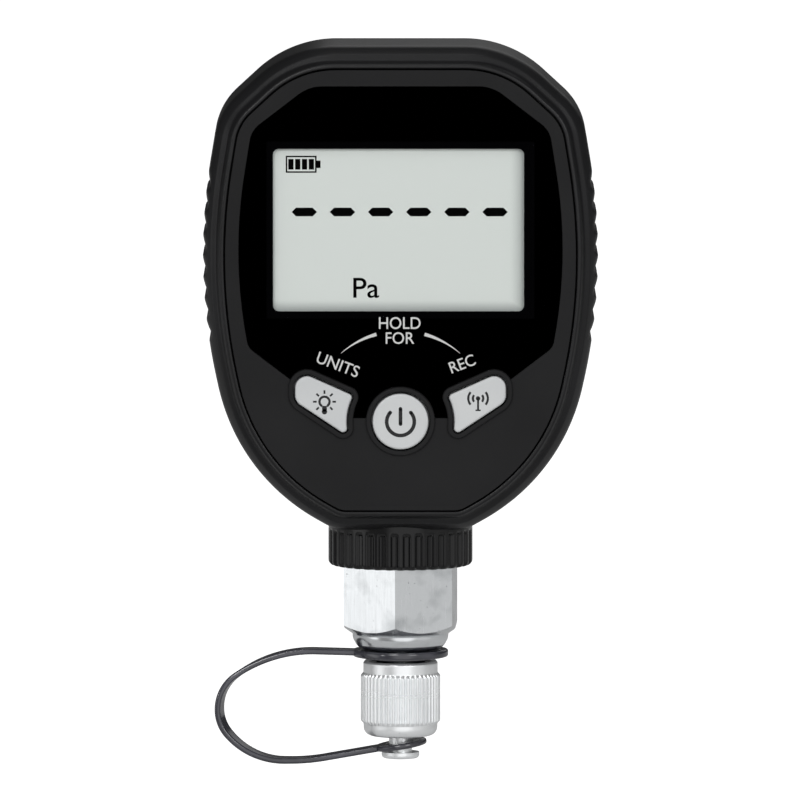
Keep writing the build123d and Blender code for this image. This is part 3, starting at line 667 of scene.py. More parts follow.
def smooth_step(value: float, low: float, high: float) -> float:
    """Rises smoothly from 0 at low to 1 at high."""
    share = min(max((value - low) / (high - low), 0.0), 1.0)
    return share * share * (3 - 2 * share)


def rounded_chain(anchors: Sequence[Corner], closed: bool, spacing: float) -> list[Point]:
    """Walks along a chain whose corners are rounded, and gives points on it.

    Args:
        anchors: The chain's corners, each with its radius.
        closed: True if the last corner joins the first.
        spacing: Largest distance between two points.

    Returns:
        The points, first to last.
    """
    stops: list[list[Vector]] = []
    count = len(anchors)
    for index, (x, y, radius) in enumerate(anchors):
        corner = Vector((x, y))
        at_end = not closed and index in (0, count - 1)
        if at_end or radius <= 0:
            stops.append([corner])
            continue
        before = (Vector(anchors[index - 1][:2]) - corner).normalized()
        after = (Vector(anchors[(index + 1) % count][:2]) - corner).normalized()
        half = before.angle(after) / 2
        middle = corner + (before + after).normalized() * (radius / math.sin(half))
        start = corner + before * (radius / math.tan(half)) - middle
        turn = math.pi - 2 * half
        way = 1 if before.cross(after) < 0 else -1
        steps = max(3, math.ceil(turn * radius / spacing))
        arc = [middle + Matrix.Rotation(way * turn * step / steps, 2) @ start for step in range(steps + 1)]
        stops.append(arc)
    path: list[Point] = []
    for index, arc in enumerate(stops):
        path.extend((point.x, point.y) for point in arc)
        if index == count - 1 and not closed:
            break
        start, end = arc[-1], stops[(index + 1) % count][0]
        pieces = math.ceil((end - start).length / spacing - 1e-6)
        path.extend(tuple(start.lerp(end, piece / pieces)) for piece in range(1, pieces))
    return path


def turned_piece(
    name: str,
    profile: Sequence[Point],
    around: int,
    material: bpy.types.Material,
    depth_at: Callable[[float, float, float], float] | None = None,
) -> bpy.types.Object:
    """Makes a piece turned about Z from a closed profile.

    Args:
        name: The piece's name.
        profile: Its closed profile as (radius, height).
        around: How many steps make the full turn.
        material: Its material.
        depth_at: How deep the surface lies at an angle, radius and height, or None.

    Returns:
        The object.
    """
    points = []
    for step in range(around):
        angle = 2 * math.pi * step / around
        for radius, height in profile:
            reach = radius - (depth_at(angle, radius, height) if depth_at else 0.0)
            points.append((reach * math.cos(angle), reach * math.sin(angle), height))
    return mesh_object(name, points, grid_faces(around, len(profile)), material)


@dataclass
class FlatArt:
    """Flat printed marks on one plane that faces the front.

    Attributes:
        depth: How far forward the plane lies, in millimetres.
        points: Corners so far, as (x, z).
        faces: Faces so far, as corner numbers.
    """

    depth: float
    points: list[Point] = field(default_factory=list)
    faces: list[Face] = field(default_factory=list)

    def outline(self, corners: Sequence[Point]) -> None:
        """Adds one filled outline, anticlockwise from the front."""
        first = len(self.points)
        self.points.extend(corners)
        self.faces.append(tuple(range(first, first + len(corners))))

    def bar(self, start: Point, end: Point, width: float) -> None:
        """Adds a straight stroke with square ends."""
        one, two = Vector(start), Vector(end)
        side = (two - one).normalized().orthogonal() * width / 2
        self.outline([tuple(p) for p in (one + side, one - side, two - side, two + side)][::-1])

    def disc(self, middle: Point, radius: float) -> None:
        """Adds a filled circle."""
        angles = [2 * math.pi * step / 32 for step in range(32)]
        self.outline([(middle[0] + radius * math.cos(a), middle[1] + radius * math.sin(a)) for a in angles])

    def arc(
        self, middle: Point, radius: float, width: float, first: float, last: float, taper: float = 1.0
    ) -> None:
        """Adds a curved stroke.

        Args:
            middle: Centre of the arc.
            radius: Radius of the stroke's middle line.
            width: Width of the stroke at its start.
            first: Angle of its start, in degrees anticlockwise from +X.
            last: Angle of its end.
            taper: Share of the width that is left at its end.
        """
        steps = 36
        start = len(self.points)
        for step in range(steps + 1):
            angle = math.radians(first + (last - first) * step / steps)
            half = width / 2 * (1 + (taper - 1) * step / steps)
            for reach in (radius - half, radius + half):
                self.points.append((middle[0] + reach * math.cos(angle), middle[1] + reach * math.sin(angle)))
        for step in range(steps):
            place = start + 2 * step
            face = (place, place + 1, place + 3, place + 2)
            self.faces.append(face if last > first else face[::-1])

    def build(self, name: str, material: bpy.types.Material) -> bpy.types.Object:
        """Makes the piece."""
        corners = [(x, -self.depth, z) for x, z in self.points]
        return mesh_object(name, corners, self.faces, material, closed=False)


def lettering(
    name: str,
    words: str,
    size: Point,
    middle: Point,
    tilt: float,
    depth: float,
    material: bpy.types.Material,
    weight: float = 0.006,
) -> bpy.types.Object:
    """Makes flat letters that face the front.

    Args:
        name: The piece's name.
        words: What it says.
        size: Width and height of the words, in millimetres.
        middle: Their middle, as (x, z).
        tilt: Their turn, in degrees anticlockwise.
        depth: How far forward they lie.
        material: Their ink.
        weight: How far each stroke is thickened, as a share of the letters' size.

    Returns:
        The object.
    """
    curve = bpy.data.curves.new(name + "_outline", "FONT")
    curve.body = words
    curve.resolution_u = 6
    curve.offset = weight
    source = bpy.data.objects.new(name + "_outline", curve)
    bpy.context.scene.collection.objects.link(source)
    bpy.context.view_layer.update()
    flat = bpy.data.meshes.new_from_object(source.evaluated_get(bpy.context.evaluated_depsgraph_get()))
    bpy.data.objects.remove(source)
    places = [vertex.co.xy for vertex in flat.vertices]
    low = Vector((min(p.x for p in places), min(p.y for p in places)))
    high = Vector((max(p.x for p in places), max(p.y for p in places)))
    turn = Matrix.Rotation(math.radians(tilt), 2)
    centre, extent = (low + high) / 2, high - low
    points = []
    for place in places:
        offset = place - centre
        spot = turn @ Vector((offset.x / extent.x * size[0], offset.y / extent.y * size[1]))
        points.append((middle[0] + spot.x, -depth, middle[1] + spot.y))
    faces = [tuple(polygon.vertices) for polygon in flat.polygons]
    return mesh_object(name, points, faces, material, closed=False)


class Cut(Enum):
    """What a cut does with a prism's inside."""

    TAKE_AWAY = "DIFFERENCE"
    KEEP = "INTERSECT"


def cut_with_prism(
    item: bpy.types.Object, cut: Cut, sides: int, radius: float, heights: Point, turn: float = 0.0
) -> None:
    """Cuts a piece's mesh by an upright prism about Z.

    Args:
        item: The piece to cut.
        cut: Whether the prism's inside is taken away or kept.
        sides: How many sides the prism has.
        radius: Radius over its corners.
        heights: Heights of its lower and upper end.
        turn: Its turn about Z, in degrees, from one corner straight ahead.
    """
    work = bmesh.new()
    bottom, top = heights
    placed = Matrix.Translation((0, 0, (bottom + top) / 2 * MM)) @ Matrix.Rotation(math.radians(turn), 4, "Z")
    bmesh.ops.create_cone(
        work,
        cap_ends=True,
        segments=sides,
        radius1=radius * MM,
        radius2=radius * MM,
        depth=(top - bottom) * MM,
        matrix=placed,
    )
    tool_mesh = bpy.data.meshes.new("cutter")
    work.to_mesh(tool_mesh)
    work.free()
    tool = bpy.data.objects.new("cutter", tool_mesh)
    bpy.context.scene.collection.objects.link(tool)
    step = item.modifiers.new("cut", "BOOLEAN")
    step.operation, step.object, step.solver = cut.value, tool, "EXACT"
    bpy.context.view_layer.update()
    made = bpy.data.meshes.new_from_object(item.evaluated_get(bpy.context.evaluated_depsgraph_get()))
    item.modifiers.clear()
    item.data = made
    bpy.data.objects.remove(tool)


# The rubber sleeve
@dataclass
class BumperSleeve:
    """The rubber sleeve round the case, with its raised lip and the ribbed grips.

    Attributes:
        corners: Right half of the case outline, as (x, z, radius) from top to bottom.
        section: Front half of the rubber's section, as (inset, depth, radius).
        grooves: How many grooves each grip has.
        pitch: Spacing of the grooves.
        middle_z: Height of the grip's middle.
        groove_depth: Depth of a groove.
        steep_share: Share of the pitch that the steep flank, over each ridge, takes.
        groove_end: Inset of the section's shoulder where the grooves run out.
        hole_radius: Radius of the opening for the collar.
    """

    corners: tuple[Corner, ...] = (
        (22.4, 138.9, 24.0),
        (36.9, 125.6, 14.0),
        (42.3, 93.1, 118.0),
        (33.1, 51.4, 41.0),
        (13.3, 40.2, 9.0),
    )
    section: tuple[Corner, ...] = (
        (0.0, 10.0, 0.0),
        (0.15, 13.9, 4.0),
        (1.65, 16.3, 0.9),
        (2.75, 16.75, 0.7),
        (3.5, 18.7, 0.55),
        (4.35, 18.7, 0.25),
        (4.35, 15.3, 0.2),
        (2.6, 15.3, 0.0),
    )
    grooves: int = 8
    pitch: float = 4.36
    middle_z: float = 96.06
    groove_depth: float = 0.8
    steep_share: float = 0.32
    groove_end: float = 0.8
    hole_radius: float = 14.95

    def loop(self) -> list[tuple[Vector, Vector]]:
        """Gives points round the case outline, each with the way outwards."""
        right = list(self.corners)
        left = [(-x, z, radius) for x, z, radius in reversed(right)]
        path = [Vector(point) for point in rounded_chain(right + left, True, 0.4)]
        marked = []
        for index, point in enumerate(path):
            along = path[(index + 1) % len(path)] - path[index - 1]
            marked.append((point, Vector((-along.y, along.x)).normalized()))
        return marked

    def groove(self, z: float) -> float:
        """Depth of the grip's surface below its ridges, at a height."""
        top = self.middle_z + self.pitch * self.grooves / 2
        turns = (top - z) / self.pitch
        if not 0 < turns < self.grooves:
            return 0.0
        phase = turns % 1.0
        easy = 1 - self.steep_share
        if phase < easy:
            return self.groove_depth * (phase / easy) ** 1.5
        return self.groove_depth * ((1 - phase) / self.steep_share) ** 2

    def build(self, rubber: bpy.types.Material) -> bpy.types.Object:
        """Makes the sleeve and cuts the collar's opening out of it."""
        front = list(self.section)
        back = [(inset, -depth, radius) for inset, depth, radius in reversed(front)]
        ring = rounded_chain(front + back, True, 1.3)
        loop = self.loop()
        points = []
        for place, outwards in loop:
            notch = self.groove(place.y)
            for inset, depth in ring:
                left = 1 - smooth_step(inset, 0.0, self.groove_end)
                spot = place - outwards * (inset + notch * left)
                points.append((spot.x, -depth, spot.y))
        sleeve = mesh_object("bumper_sleeve", points, grid_faces(len(loop), len(ring)), rubber, 50.0)
        cut_with_prism(sleeve, Cut.TAKE_AWAY, 160, self.hole_radius, (38.0, 47.0))
        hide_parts("bumper")
        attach(sleeve, "gauge")
        return sleeve


# What is printed on the lens and shown on the display
@dataclass
class Legends:
    """White marks on the lens and dark symbols on the keys.

    Attributes:
        lens_depth: How far forward the lens's printed face lies.
        key_depth: How far forward the key tops lie.
        keys_z: Height of the power key's middle.
        arc_radius: Radius of the two curved lines, about the power key.
    """

    lens_depth: float = 18.93
    key_depth: float = 20.01
    keys_z: float = 62.97
    arc_radius: float = 18.35

    def lens_marks(self, ink: bpy.types.Material) -> list[bpy.types.Object]:
        """Makes the words and the two tapering lines over the keys."""
        pieces = [
            lettering("legend_hold", "HOLD", (8.45, 2.45), (-0.15, 82.95), 0.0, self.lens_depth, ink),
            lettering("legend_for", "FOR", (5.8, 2.4), (-0.1, 79.9), 0.0, self.lens_depth, ink),
            lettering("legend_units", "UNITS", (8.9, 2.4), (-12.65, 74.5), -20.8, self.lens_depth, ink),
            lettering("legend_rec", "REC", (5.3, 2.35), (12.5, 74.7), 20.5, self.lens_depth, ink),
        ]
        lines = FlatArt(self.lens_depth)
        for near, far in ((105.4, 131.0), (74.6, 49.0)):
            lines.arc((0.0, self.keys_z), self.arc_radius, 0.7, near, far, taper=0.12)
        pieces.append(lines.build("legend_lines", ink))
        return pieces

    def power_mark(self, ink: bpy.types.Material) -> bpy.types.Object:
        """Makes the power symbol."""
        art = FlatArt(self.key_depth)
        art.arc((0.0, self.keys_z), 2.8, 0.74, 138.0, 402.0)
        for end in (138.0, 42.0):
            angle = math.radians(end)
            art.disc((2.8 * math.cos(angle), self.keys_z + 2.8 * math.sin(angle)), 0.37)
        art.bar((0.0, 62.5), (0.0, 65.6), 0.74)
        art.disc((0.0, 62.5), 0.37)
        art.disc((0.0, 65.6), 0.37)
        return art.build("power_symbol", ink)

    def lamp_mark(self, ink: bpy.types.Material) -> bpy.types.Object:
        """Makes the lamp symbol with its rays."""
        art = FlatArt(self.key_depth)
        middle = (-15.4, 67.05)
        art.arc(middle, 1.02, 0.48, -62.0, 242.0)
        art.outline([(-15.85, 65.05), (-14.95, 65.05), (-14.9, 66.2), (-15.9, 66.2)])
        art.disc((-15.4, 65.0), 0.54)
        for angle in (-45, 0, 45, 90, 135, 180, 225):
            way = Vector((math.cos(math.radians(angle)), math.sin(math.radians(angle))))
            start, end = Vector(middle) + way * 1.6, Vector(middle) + way * 2.32
            art.bar(tuple(start), tuple(end), 0.38)
        return art.build("lamp_symbol", ink)

    def waves_mark(self, ink: bpy.types.Material) -> bpy.types.Object:
        """Makes the aerial symbol with its waves."""
        art = FlatArt(self.key_depth)
        middle = (15.72, 67.72)
        art.disc(middle, 0.45)
        art.bar((15.72, 65.3), middle, 0.4)
        art.bar((15.2, 65.3), (16.25, 65.3), 0.3)
        for radius in (1.05, 1.98):
            art.arc(middle, radius, 0.45, -40.0, 40.0)
            art.arc(middle, radius, 0.45, 140.0, 220.0)
        return art.build("waves_symbol", ink)

    def build(self, white: bpy.types.Material, grey: bpy.types.Material) -> list[bpy.types.Object]:
        """Makes every mark and sets each on the body that carries it."""
        pieces = self.lens_marks(white)
        for piece in pieces:
            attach(piece, "gauge")
        carried = (
            (self.power_mark(grey), "power_button"),
            (self.lamp_mark(grey), "light_button"),
            (self.waves_mark(grey), "link_button"),
        )
        for piece, body in carried:
            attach(piece, body)
            pieces.append(piece)
        return pieces


@dataclass
class Readout:
    """What the display shows: a battery, a row of dashes and the unit.

    Attributes:
        depth: How far forward the segments lie.
        dash_middle: Middle of the first dash.
        dash_pitch: Spacing of the dashes.
        dash_size: Length and height of one dash.
        dashes: How many there are.
    """

    depth: float = 16.42
    dash_middle: Point = (-19.49, 105.33)
    dash_pitch: float = 7.73
    dash_size: Point = (5.15, 1.75)
    dashes: int = 6

    def dash_row(self, art: FlatArt) -> None:
        """Adds the dashes, each with pointed ends."""
        half_length, half_height = self.dash_size[0] / 2, self.dash_size[1] / 2
        for index in range(self.dashes):
            x, z = self.dash_middle[0] + index * self.dash_pitch, self.dash_middle[1]
            inner = half_length - half_height
            art.outline(
                [
                    (x - half_length, z),
                    (x - inner, z - half_height),
                    (x + inner, z - half_height),
                    (x + half_length, z),
                    (x + inner, z + half_height),
                    (x - inner, z + half_height),
                ]
            )

    def battery(self, art: FlatArt) -> None:
        """Adds the battery mark with its four bars."""
        left, right, bottom, top = -23.25, -17.0, 113.3, 116.75
        line = 0.3
        art.bar((left, top - line / 2), (right, top - line / 2), line)
        art.bar((left, bottom + line / 2), (right, bottom + line / 2), line)
        art.bar((left + line / 2, bottom), (left + line / 2, top), line)
        art.bar((right - line / 2, bottom), (right - line / 2, top), line)
        art.bar((right, (bottom + top) / 2), (right + 0.8, (bottom + top) / 2), 1.5)
        for index in range(4):
            x = left + 1.05 + index * 1.38
            art.bar((x, bottom + 0.65), (x, top - 0.65), 1.06)

    def build(self, crystal: bpy.types.Material) -> list[bpy.types.Object]:
        """Makes the segments and the unit."""
        art = FlatArt(self.depth)
        self.dash_row(art)
        self.battery(art)
        pieces = [
            art.build("display_segments", crystal),
            lettering("display_unit", "Pa", (5.25, 4.1), (-6.95, 89.9), 0.0, self.depth, crystal),
        ]
        for piece in pieces:
            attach(piece, "gauge")
        return pieces


# The ring, the cap and the strap under the case
@dataclass
class ClampCollar:
    """The black ring under the case, ribbed below and plain above.

    Attributes:
        radius: Radius over the ribs.
        bottom: Height of its underside.
        top: Height of its upper face.
        rib_top: Height where the ribs end.
        ribs: How many ribs it has.
        rib_depth: Depth between two ribs.
        rib_share: Share of the pitch that a rib takes.
        bore: Radius of its hole.
        socket: Radius of the recess for the hexagon.
        socket_top: Height of the recess's end.
    """

    radius: float = 14.7
    bottom: float = 32.0
    top: float = 42.7
    rib_top: float = 39.5
    ribs: int = 36
    rib_depth: float = 0.6
    rib_share: float = 0.5
    bore: float = 11.06
    socket: float = 12.98
    socket_top: float = 33.6

    def depth_at(self, angle: float, radius: float, height: float) -> float:
        """Depth of the surface between two ribs."""
        if radius < self.socket + 0.3:
            return 0.0
        phase = abs((angle * self.ribs / (2 * math.pi)) % 1.0 - 0.5) * 2
        between = 1 - smooth_step(phase, 1 - self.rib_share - 0.22, 1 - self.rib_share + 0.22)
        return self.rib_depth * between * (1 - smooth_step(height, self.rib_top - 0.7, self.rib_top))

    def build(self, nylon: bpy.types.Material) -> bpy.types.Object:
        """Makes the collar."""
        profile = rounded_chain(
            [
                (self.bore, self.top, 0.0),
                (self.radius, self.top, 0.4),
                (self.radius, self.bottom, 1.0),
                (self.socket, self.bottom, 0.1),
                (self.socket, self.socket_top, 0.0),
                (self.bore, self.socket_top, 0.0),
            ],
            True,
            0.35,
        )
        collar = turned_piece("collar_ring", profile, self.ribs * 16, nylon, self.depth_at)
        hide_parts("collar_nut")
        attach(collar, "gauge")
        return collar


@dataclass
class FlareFitting:
    """The metal fitting: threaded male flare, cup-shaped shoulder, hexagon and barrel.

    Attributes:
        across_flats: Size of the hexagon.
        turn: Its turn about Z, in degrees, from one corner straight ahead.
        thread_heights: Heights of the thread's lower and upper end.
        thread_pitch: Spacing of its turns.
        thread_depth: Depth between two turns.
        profile: Its closed profile before the hexagon is milled, as (radius, height, rounding).
    """

    across_flats: float = 22.225
    turn: float = -5.0
    thread_heights: Point = (2.6, 11.6)
    thread_pitch: float = 1.27
    thread_depth: float = 0.55
    profile: tuple[Corner, ...] = (
        (2.4, 0.0, 0.05),
        (2.8, 0.0, 0.1),
        (5.5, 2.7, 0.15),
        (5.5, 11.8, 0.1),
        (4.8, 12.4, 0.1),
        (4.8, 14.8, 0.1),
        (7.7, 14.8, 0.2),
        (8.9, 15.35, 1.4),
        (9.8, 17.0, 2.2),
        (9.8, 17.88, 0.1),
        (13.33, 20.35, 0.0),
        (13.33, 32.9, 0.0),
        (12.33, 33.5, 0.0),
        (11.0, 33.5, 0.0),
        (11.0, 50.8, 0.3),
        (6.5, 50.8, 0.1),
        (6.5, 37.2, 0.0),
        (2.4, 37.2, 0.0),
    )

    def depth_at(self, angle: float, radius: float, height: float) -> float:
        """Depth of the thread's surface below its crests."""
        low, high = self.thread_heights
        if radius < 5.0 or radius > 6.0 or not low < height < high:
            return 0.0
        phase = (height / self.thread_pitch - angle / (2 * math.pi)) % 1.0
        runout = smooth_step(height, low, low + 0.5) * (1 - smooth_step(height, high - 0.6, high))
        return self.thread_depth * abs(2 * phase - 1) * runout

    def build(self, nickel: bpy.types.Material) -> bpy.types.Object:
        """Makes the fitting and mills its hexagon."""
        profile = rounded_chain(self.profile, True, 0.25)
        fitting = turned_piece("flare_fitting", profile, 144, nickel, self.depth_at)
        cut_with_prism(fitting, Cut.KEEP, 6, self.across_flats / math.sqrt(3), (-1.0, 60.0), self.turn)
        fitting.data.shade_smooth()
        fitting.data.set_sharp_from_angle(angle=math.radians(28.0))
        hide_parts("fitting")
        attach(fitting, "gauge")
        return fitting


@dataclass
class KnurledCap:
    """The metal cap on the flare, with straight knurling.

    Attributes:
        teeth: How many teeth the knurling has.
        tooth_radius: Radius over the teeth.
        band_radius: Radius of the plain bands.
        groove_depth: Depth between two teeth.
        profile: Its closed profile, as (radius, height, rounding).
    """

    teeth: int = 48
    tooth_radius: float = 8.15
    band_radius: float = 7.6
    groove_depth: float = 0.5
    profile: tuple[Corner, ...] = (
        (5.58, 11.2, 0.0),
        (6.7, 12.3, 0.1),
        (7.27, 12.3, 0.12),
        (7.6, 11.9, 0.2),
        (7.6, 9.9, 0.1),
        (8.15, 9.25, 0.15),
        (8.15, 0.05, 0.15),
        (7.55, -0.6, 0.1),
        (7.5, -3.1, 1.8),
        (2.43, -3.1, 0.0),
        (2.43, -2.1, 0.0),
        (5.58, -2.1, 0.0),
    )

    def depth_at(self, angle: float, radius: float, height: float) -> float:
        """Depth of the surface between two teeth."""
        proud = max(0.0, radius - self.band_radius) / (self.tooth_radius - self.band_radius)
        phase = (angle * self.teeth / (2 * math.pi)) % 1.0
        return self.groove_depth * proud * (0.5 + 0.5 * math.cos(2 * math.pi * phase)) ** 2.4

    def build(self, nickel: bpy.types.Material) -> bpy.types.Object:
        """Makes the cap."""
        profile = rounded_chain(self.profile, True, 0.3)
        cap = turned_piece("knurled_cap", profile, self.teeth * 12, nickel, self.depth_at)
        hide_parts("flare_cap")
        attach(cap, "cap")
        return cap


@dataclass
class CapStrap:
    """The moulded strap: a ring round the neck, a looped band and an eyelet on the rivet.

    Attributes:
        thickness: Thickness of the band.
        width: Width of the band, from front to back.
        line: The band's middle line from ring to eyelet, as (x, z, radius).
        twist: How far the band turns about its own line halfway round, in degrees.
        ring: Inner and outer radius of the ring.
        ring_heights: Heights of the ring's underside and top.
        hub: Outer radius and underside height of the hub under the ring.
        eyelet: Inner and outer radius of the eyelet.
        eyelet_z: Height of the eyelet's middle.
        eyelet_tilt: Its tilt, in degrees.
    """

    thickness: float = 1.2
    width: float = 4.4
    line: tuple[Corner, ...] = (
        (-7.4, 13.95, 0.0),
        (-26.2, 14.5, 26.5),
        (-37.0, 6.7, 8.3),
        (-37.0, -0.7, 7.8),
        (-30.3, -8.2, 15.0),
        (-18.8, -8.2, 40.0),
        (-4.4, -5.7, 0.0),
    )
    twist: float = 13.0
    ring: Point = (5.75, 9.75)
    ring_heights: Point = (13.15, 14.65)
    hub: Point = (6.5, 12.6)
    eyelet: Point = (2.75, 5.4)
    eyelet_z: float = -5.0
    eyelet_tilt: float = 9.0

    def band(self) -> tuple[list[tuple[float, float, float]], list[Face]]:
        """Gives the band's points and faces."""
        path = [Vector(point) for point in rounded_chain(self.line, False, 0.5)]
        half_width, half_thickness = self.width / 2, self.thickness / 2
        section = rounded_chain(
            [
                (half_width, half_thickness, 0.42),
                (-half_width, half_thickness, 0.42),
                (-half_width, -half_thickness, 0.42),
                (half_width, -half_thickness, 0.42),
            ],
            True,
            0.5,
        )
        points = []
        for index, place in enumerate(path):
            along = (path[min(index + 1, len(path) - 1)] - path[max(index - 1, 0)]).normalized()
            share = index / (len(path) - 1)
            turn = Matrix.Rotation(math.radians(self.twist) * math.sin(math.pi * share) ** 8, 2)
            for across, up in section:
                y, rise = turn @ Vector((across, up))
                spot = place + Vector((-along.y, along.x)) * rise
                points.append((spot.x, y, spot.y))
        count = len(section)
        faces = grid_faces(len(path), count, closed_rows=False)
        faces.append(tuple(range(count)))
        faces.append(tuple(range(len(points) - count, len(points)))[::-1])
        return points, faces

    def washer(self, corners: Sequence[Corner], place: Matrix) -> tuple[list[tuple[float, ...]], list[Face]]:
        """Gives the points and faces of a ring turned from rounded corners, set in place."""
        profile = rounded_chain(corners, True, 0.4)
        around = 120
        points = []
        for step in range(around):
            angle = 2 * math.pi * step / around
            for radius, height in profile:
                spot = place @ Vector((radius * math.cos(angle), radius * math.sin(angle), height))
                points.append(tuple(spot))
        return points, grid_faces(around, len(profile))

    def build(self, urethane: bpy.types.Material) -> bpy.types.Object:
        """Makes the strap, with its eyelet on the rivet at its lower end."""
        half = self.thickness / 2
        (inner, outer), (low_z, top_z), (hub_radius, hub_z) = self.ring, self.ring_heights, self.hub
        ring = [
            (inner, hub_z, 0.1),
            (hub_radius, hub_z, 0.15),
            (hub_radius, low_z, 0.1),
            (outer, low_z, 0.4),
            (outer, top_z, 0.4),
            (inner, top_z, 0.3),
        ]
        hole, rim = self.eyelet
        eyelet = [(hole, -half, 0.3), (rim, -half, 0.45), (rim, half, 0.45), (hole, half, 0.3)]
        tilted = Matrix.Translation((0, 0, self.eyelet_z)) @ Matrix.Rotation(
            -math.radians(self.eyelet_tilt), 4, "Y"
        )
        shells = [
            self.band(),
            self.washer(ring, Matrix.Identity(4)),
            self.washer(eyelet, tilted),
        ]
        points: list[tuple[float, ...]] = []
        faces: list[Face] = []
        for shell_points, shell_faces in shells:
            first = len(points)
            points.extend(shell_points)
            faces.extend(tuple(first + corner for corner in face) for face in shell_faces)
        strap = mesh_object("cap_strap", points, faces, urethane, 50.0)
        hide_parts("cap_tether")
        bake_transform(strap)
        return strap


# The solids that keep their own shape
@dataclass
class CarriedSolids:
    """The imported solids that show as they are, each with its real material.

    Attributes:
        finishes: Which node has which finish.
    """

    finishes: dict[str, Finish] = field(
        default_factory=lambda: {
            "front_case": CASE_ABS,
            "rear_case": CASE_ABS,
            "battery_cover": CASE_ABS,
            "case_gasket": SEAL_NITRILE,
            "neck_seal": SEAL_NITRILE,
            "sensor_seal": SEAL_NITRILE,
            "cap_seal": SEAL_NITRILE,
            "case_screws": SCREW_ZINC,
            "battery_cover_screw": SCREW_ZINC,
            "display_lens": LENS_ACRYLIC,
            "lcd_glass": DISPLAY_POLARISER,
            "lcd_frame": FRAME_ABS,
            "backlight": GUIDE_ACRYLIC,
            "zebra_strips": STRIP_RUBBER,
            "main_pcb": BOARD_EPOXY,
            "sensor_board": BOARD_EPOXY,
            "processor_chip": CHIP_EPOXY,
            "radio_module": SHIELD_TIN,
            "sensor_can": SHIELD_TIN,
            "keypad_mat": MAT_SILICONE,
            "power_key": KEY_POLYCARBONATE,
            "light_key": KEY_POLYCARBONATE,
            "link_key": KEY_POLYCARBONATE,
            "batteries": CELL_SLEEVE,
            "battery_contacts": CONTACT_NICKEL,
            "sensor_leads": CONTACT_NICKEL,
            "lock_nut": NUT_BRASS,
            "fitting": FITTING_NICKEL,
            "sensor_flex": FLEX_POLYIMIDE,
            "cap_rivet": CAP_NICKEL,
        }
    )

    def dress(self, materials: dict[str, bpy.types.Material]) -> None:
        """Gives every node its material.

        Args:
            materials: The built materials by name.
        """
        for node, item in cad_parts.items():
            finish = self.finishes.get(node, BUMPER_RUBBER)
            item.data.materials.clear()
            item.data.materials.append(materials[finish.name])


# The studio
@dataclass(frozen=True)
class RoomCard:
    """A round soft card on the wall of the room, brighter or darker than the wall.

    Attributes:
        turn: Its angle to the right of straight ahead, in degrees.
        rise: Its angle above the horizon, in degrees.
        inner: Angle from its middle within which it is even.
        outer: Angle from its middle where it has faded into the wall.
        brightness: What it adds to the wall's brightness.
    """

    turn: float
    rise: float
    inner: float
    outer: float
    brightness: float

    def direction(self) -> tuple[float, float, float]:
        """Gives the way from the object to the card."""
        turn, rise = math.radians(self.turn), math.radians(self.rise)
        return math.sin(turn) * math.cos(rise), -math.cos(turn) * math.cos(rise), math.sin(rise)


# A big white card on the left and one in front make the bright bands on the metal, a weaker
# one on the right greys its right side, one above picks out rounded edges, and the wall
# behind is dark, so that black rims stay black
ROOM_CARDS = (
    RoomCard(-72.0, -3.0, 11.0, 22.0, 0.95),
    RoomCard(8.0, -5.0, 18.0, 34.0, 0.75),
    RoomCard(60.0, 0.0, 14.0, 30.0, 0.35),
    RoomCard(0.0, 50.0, 14.0, 40.0, 0.45),
    RoomCard(180.0, 0.0, 50.0, 90.0, -0.19),
)


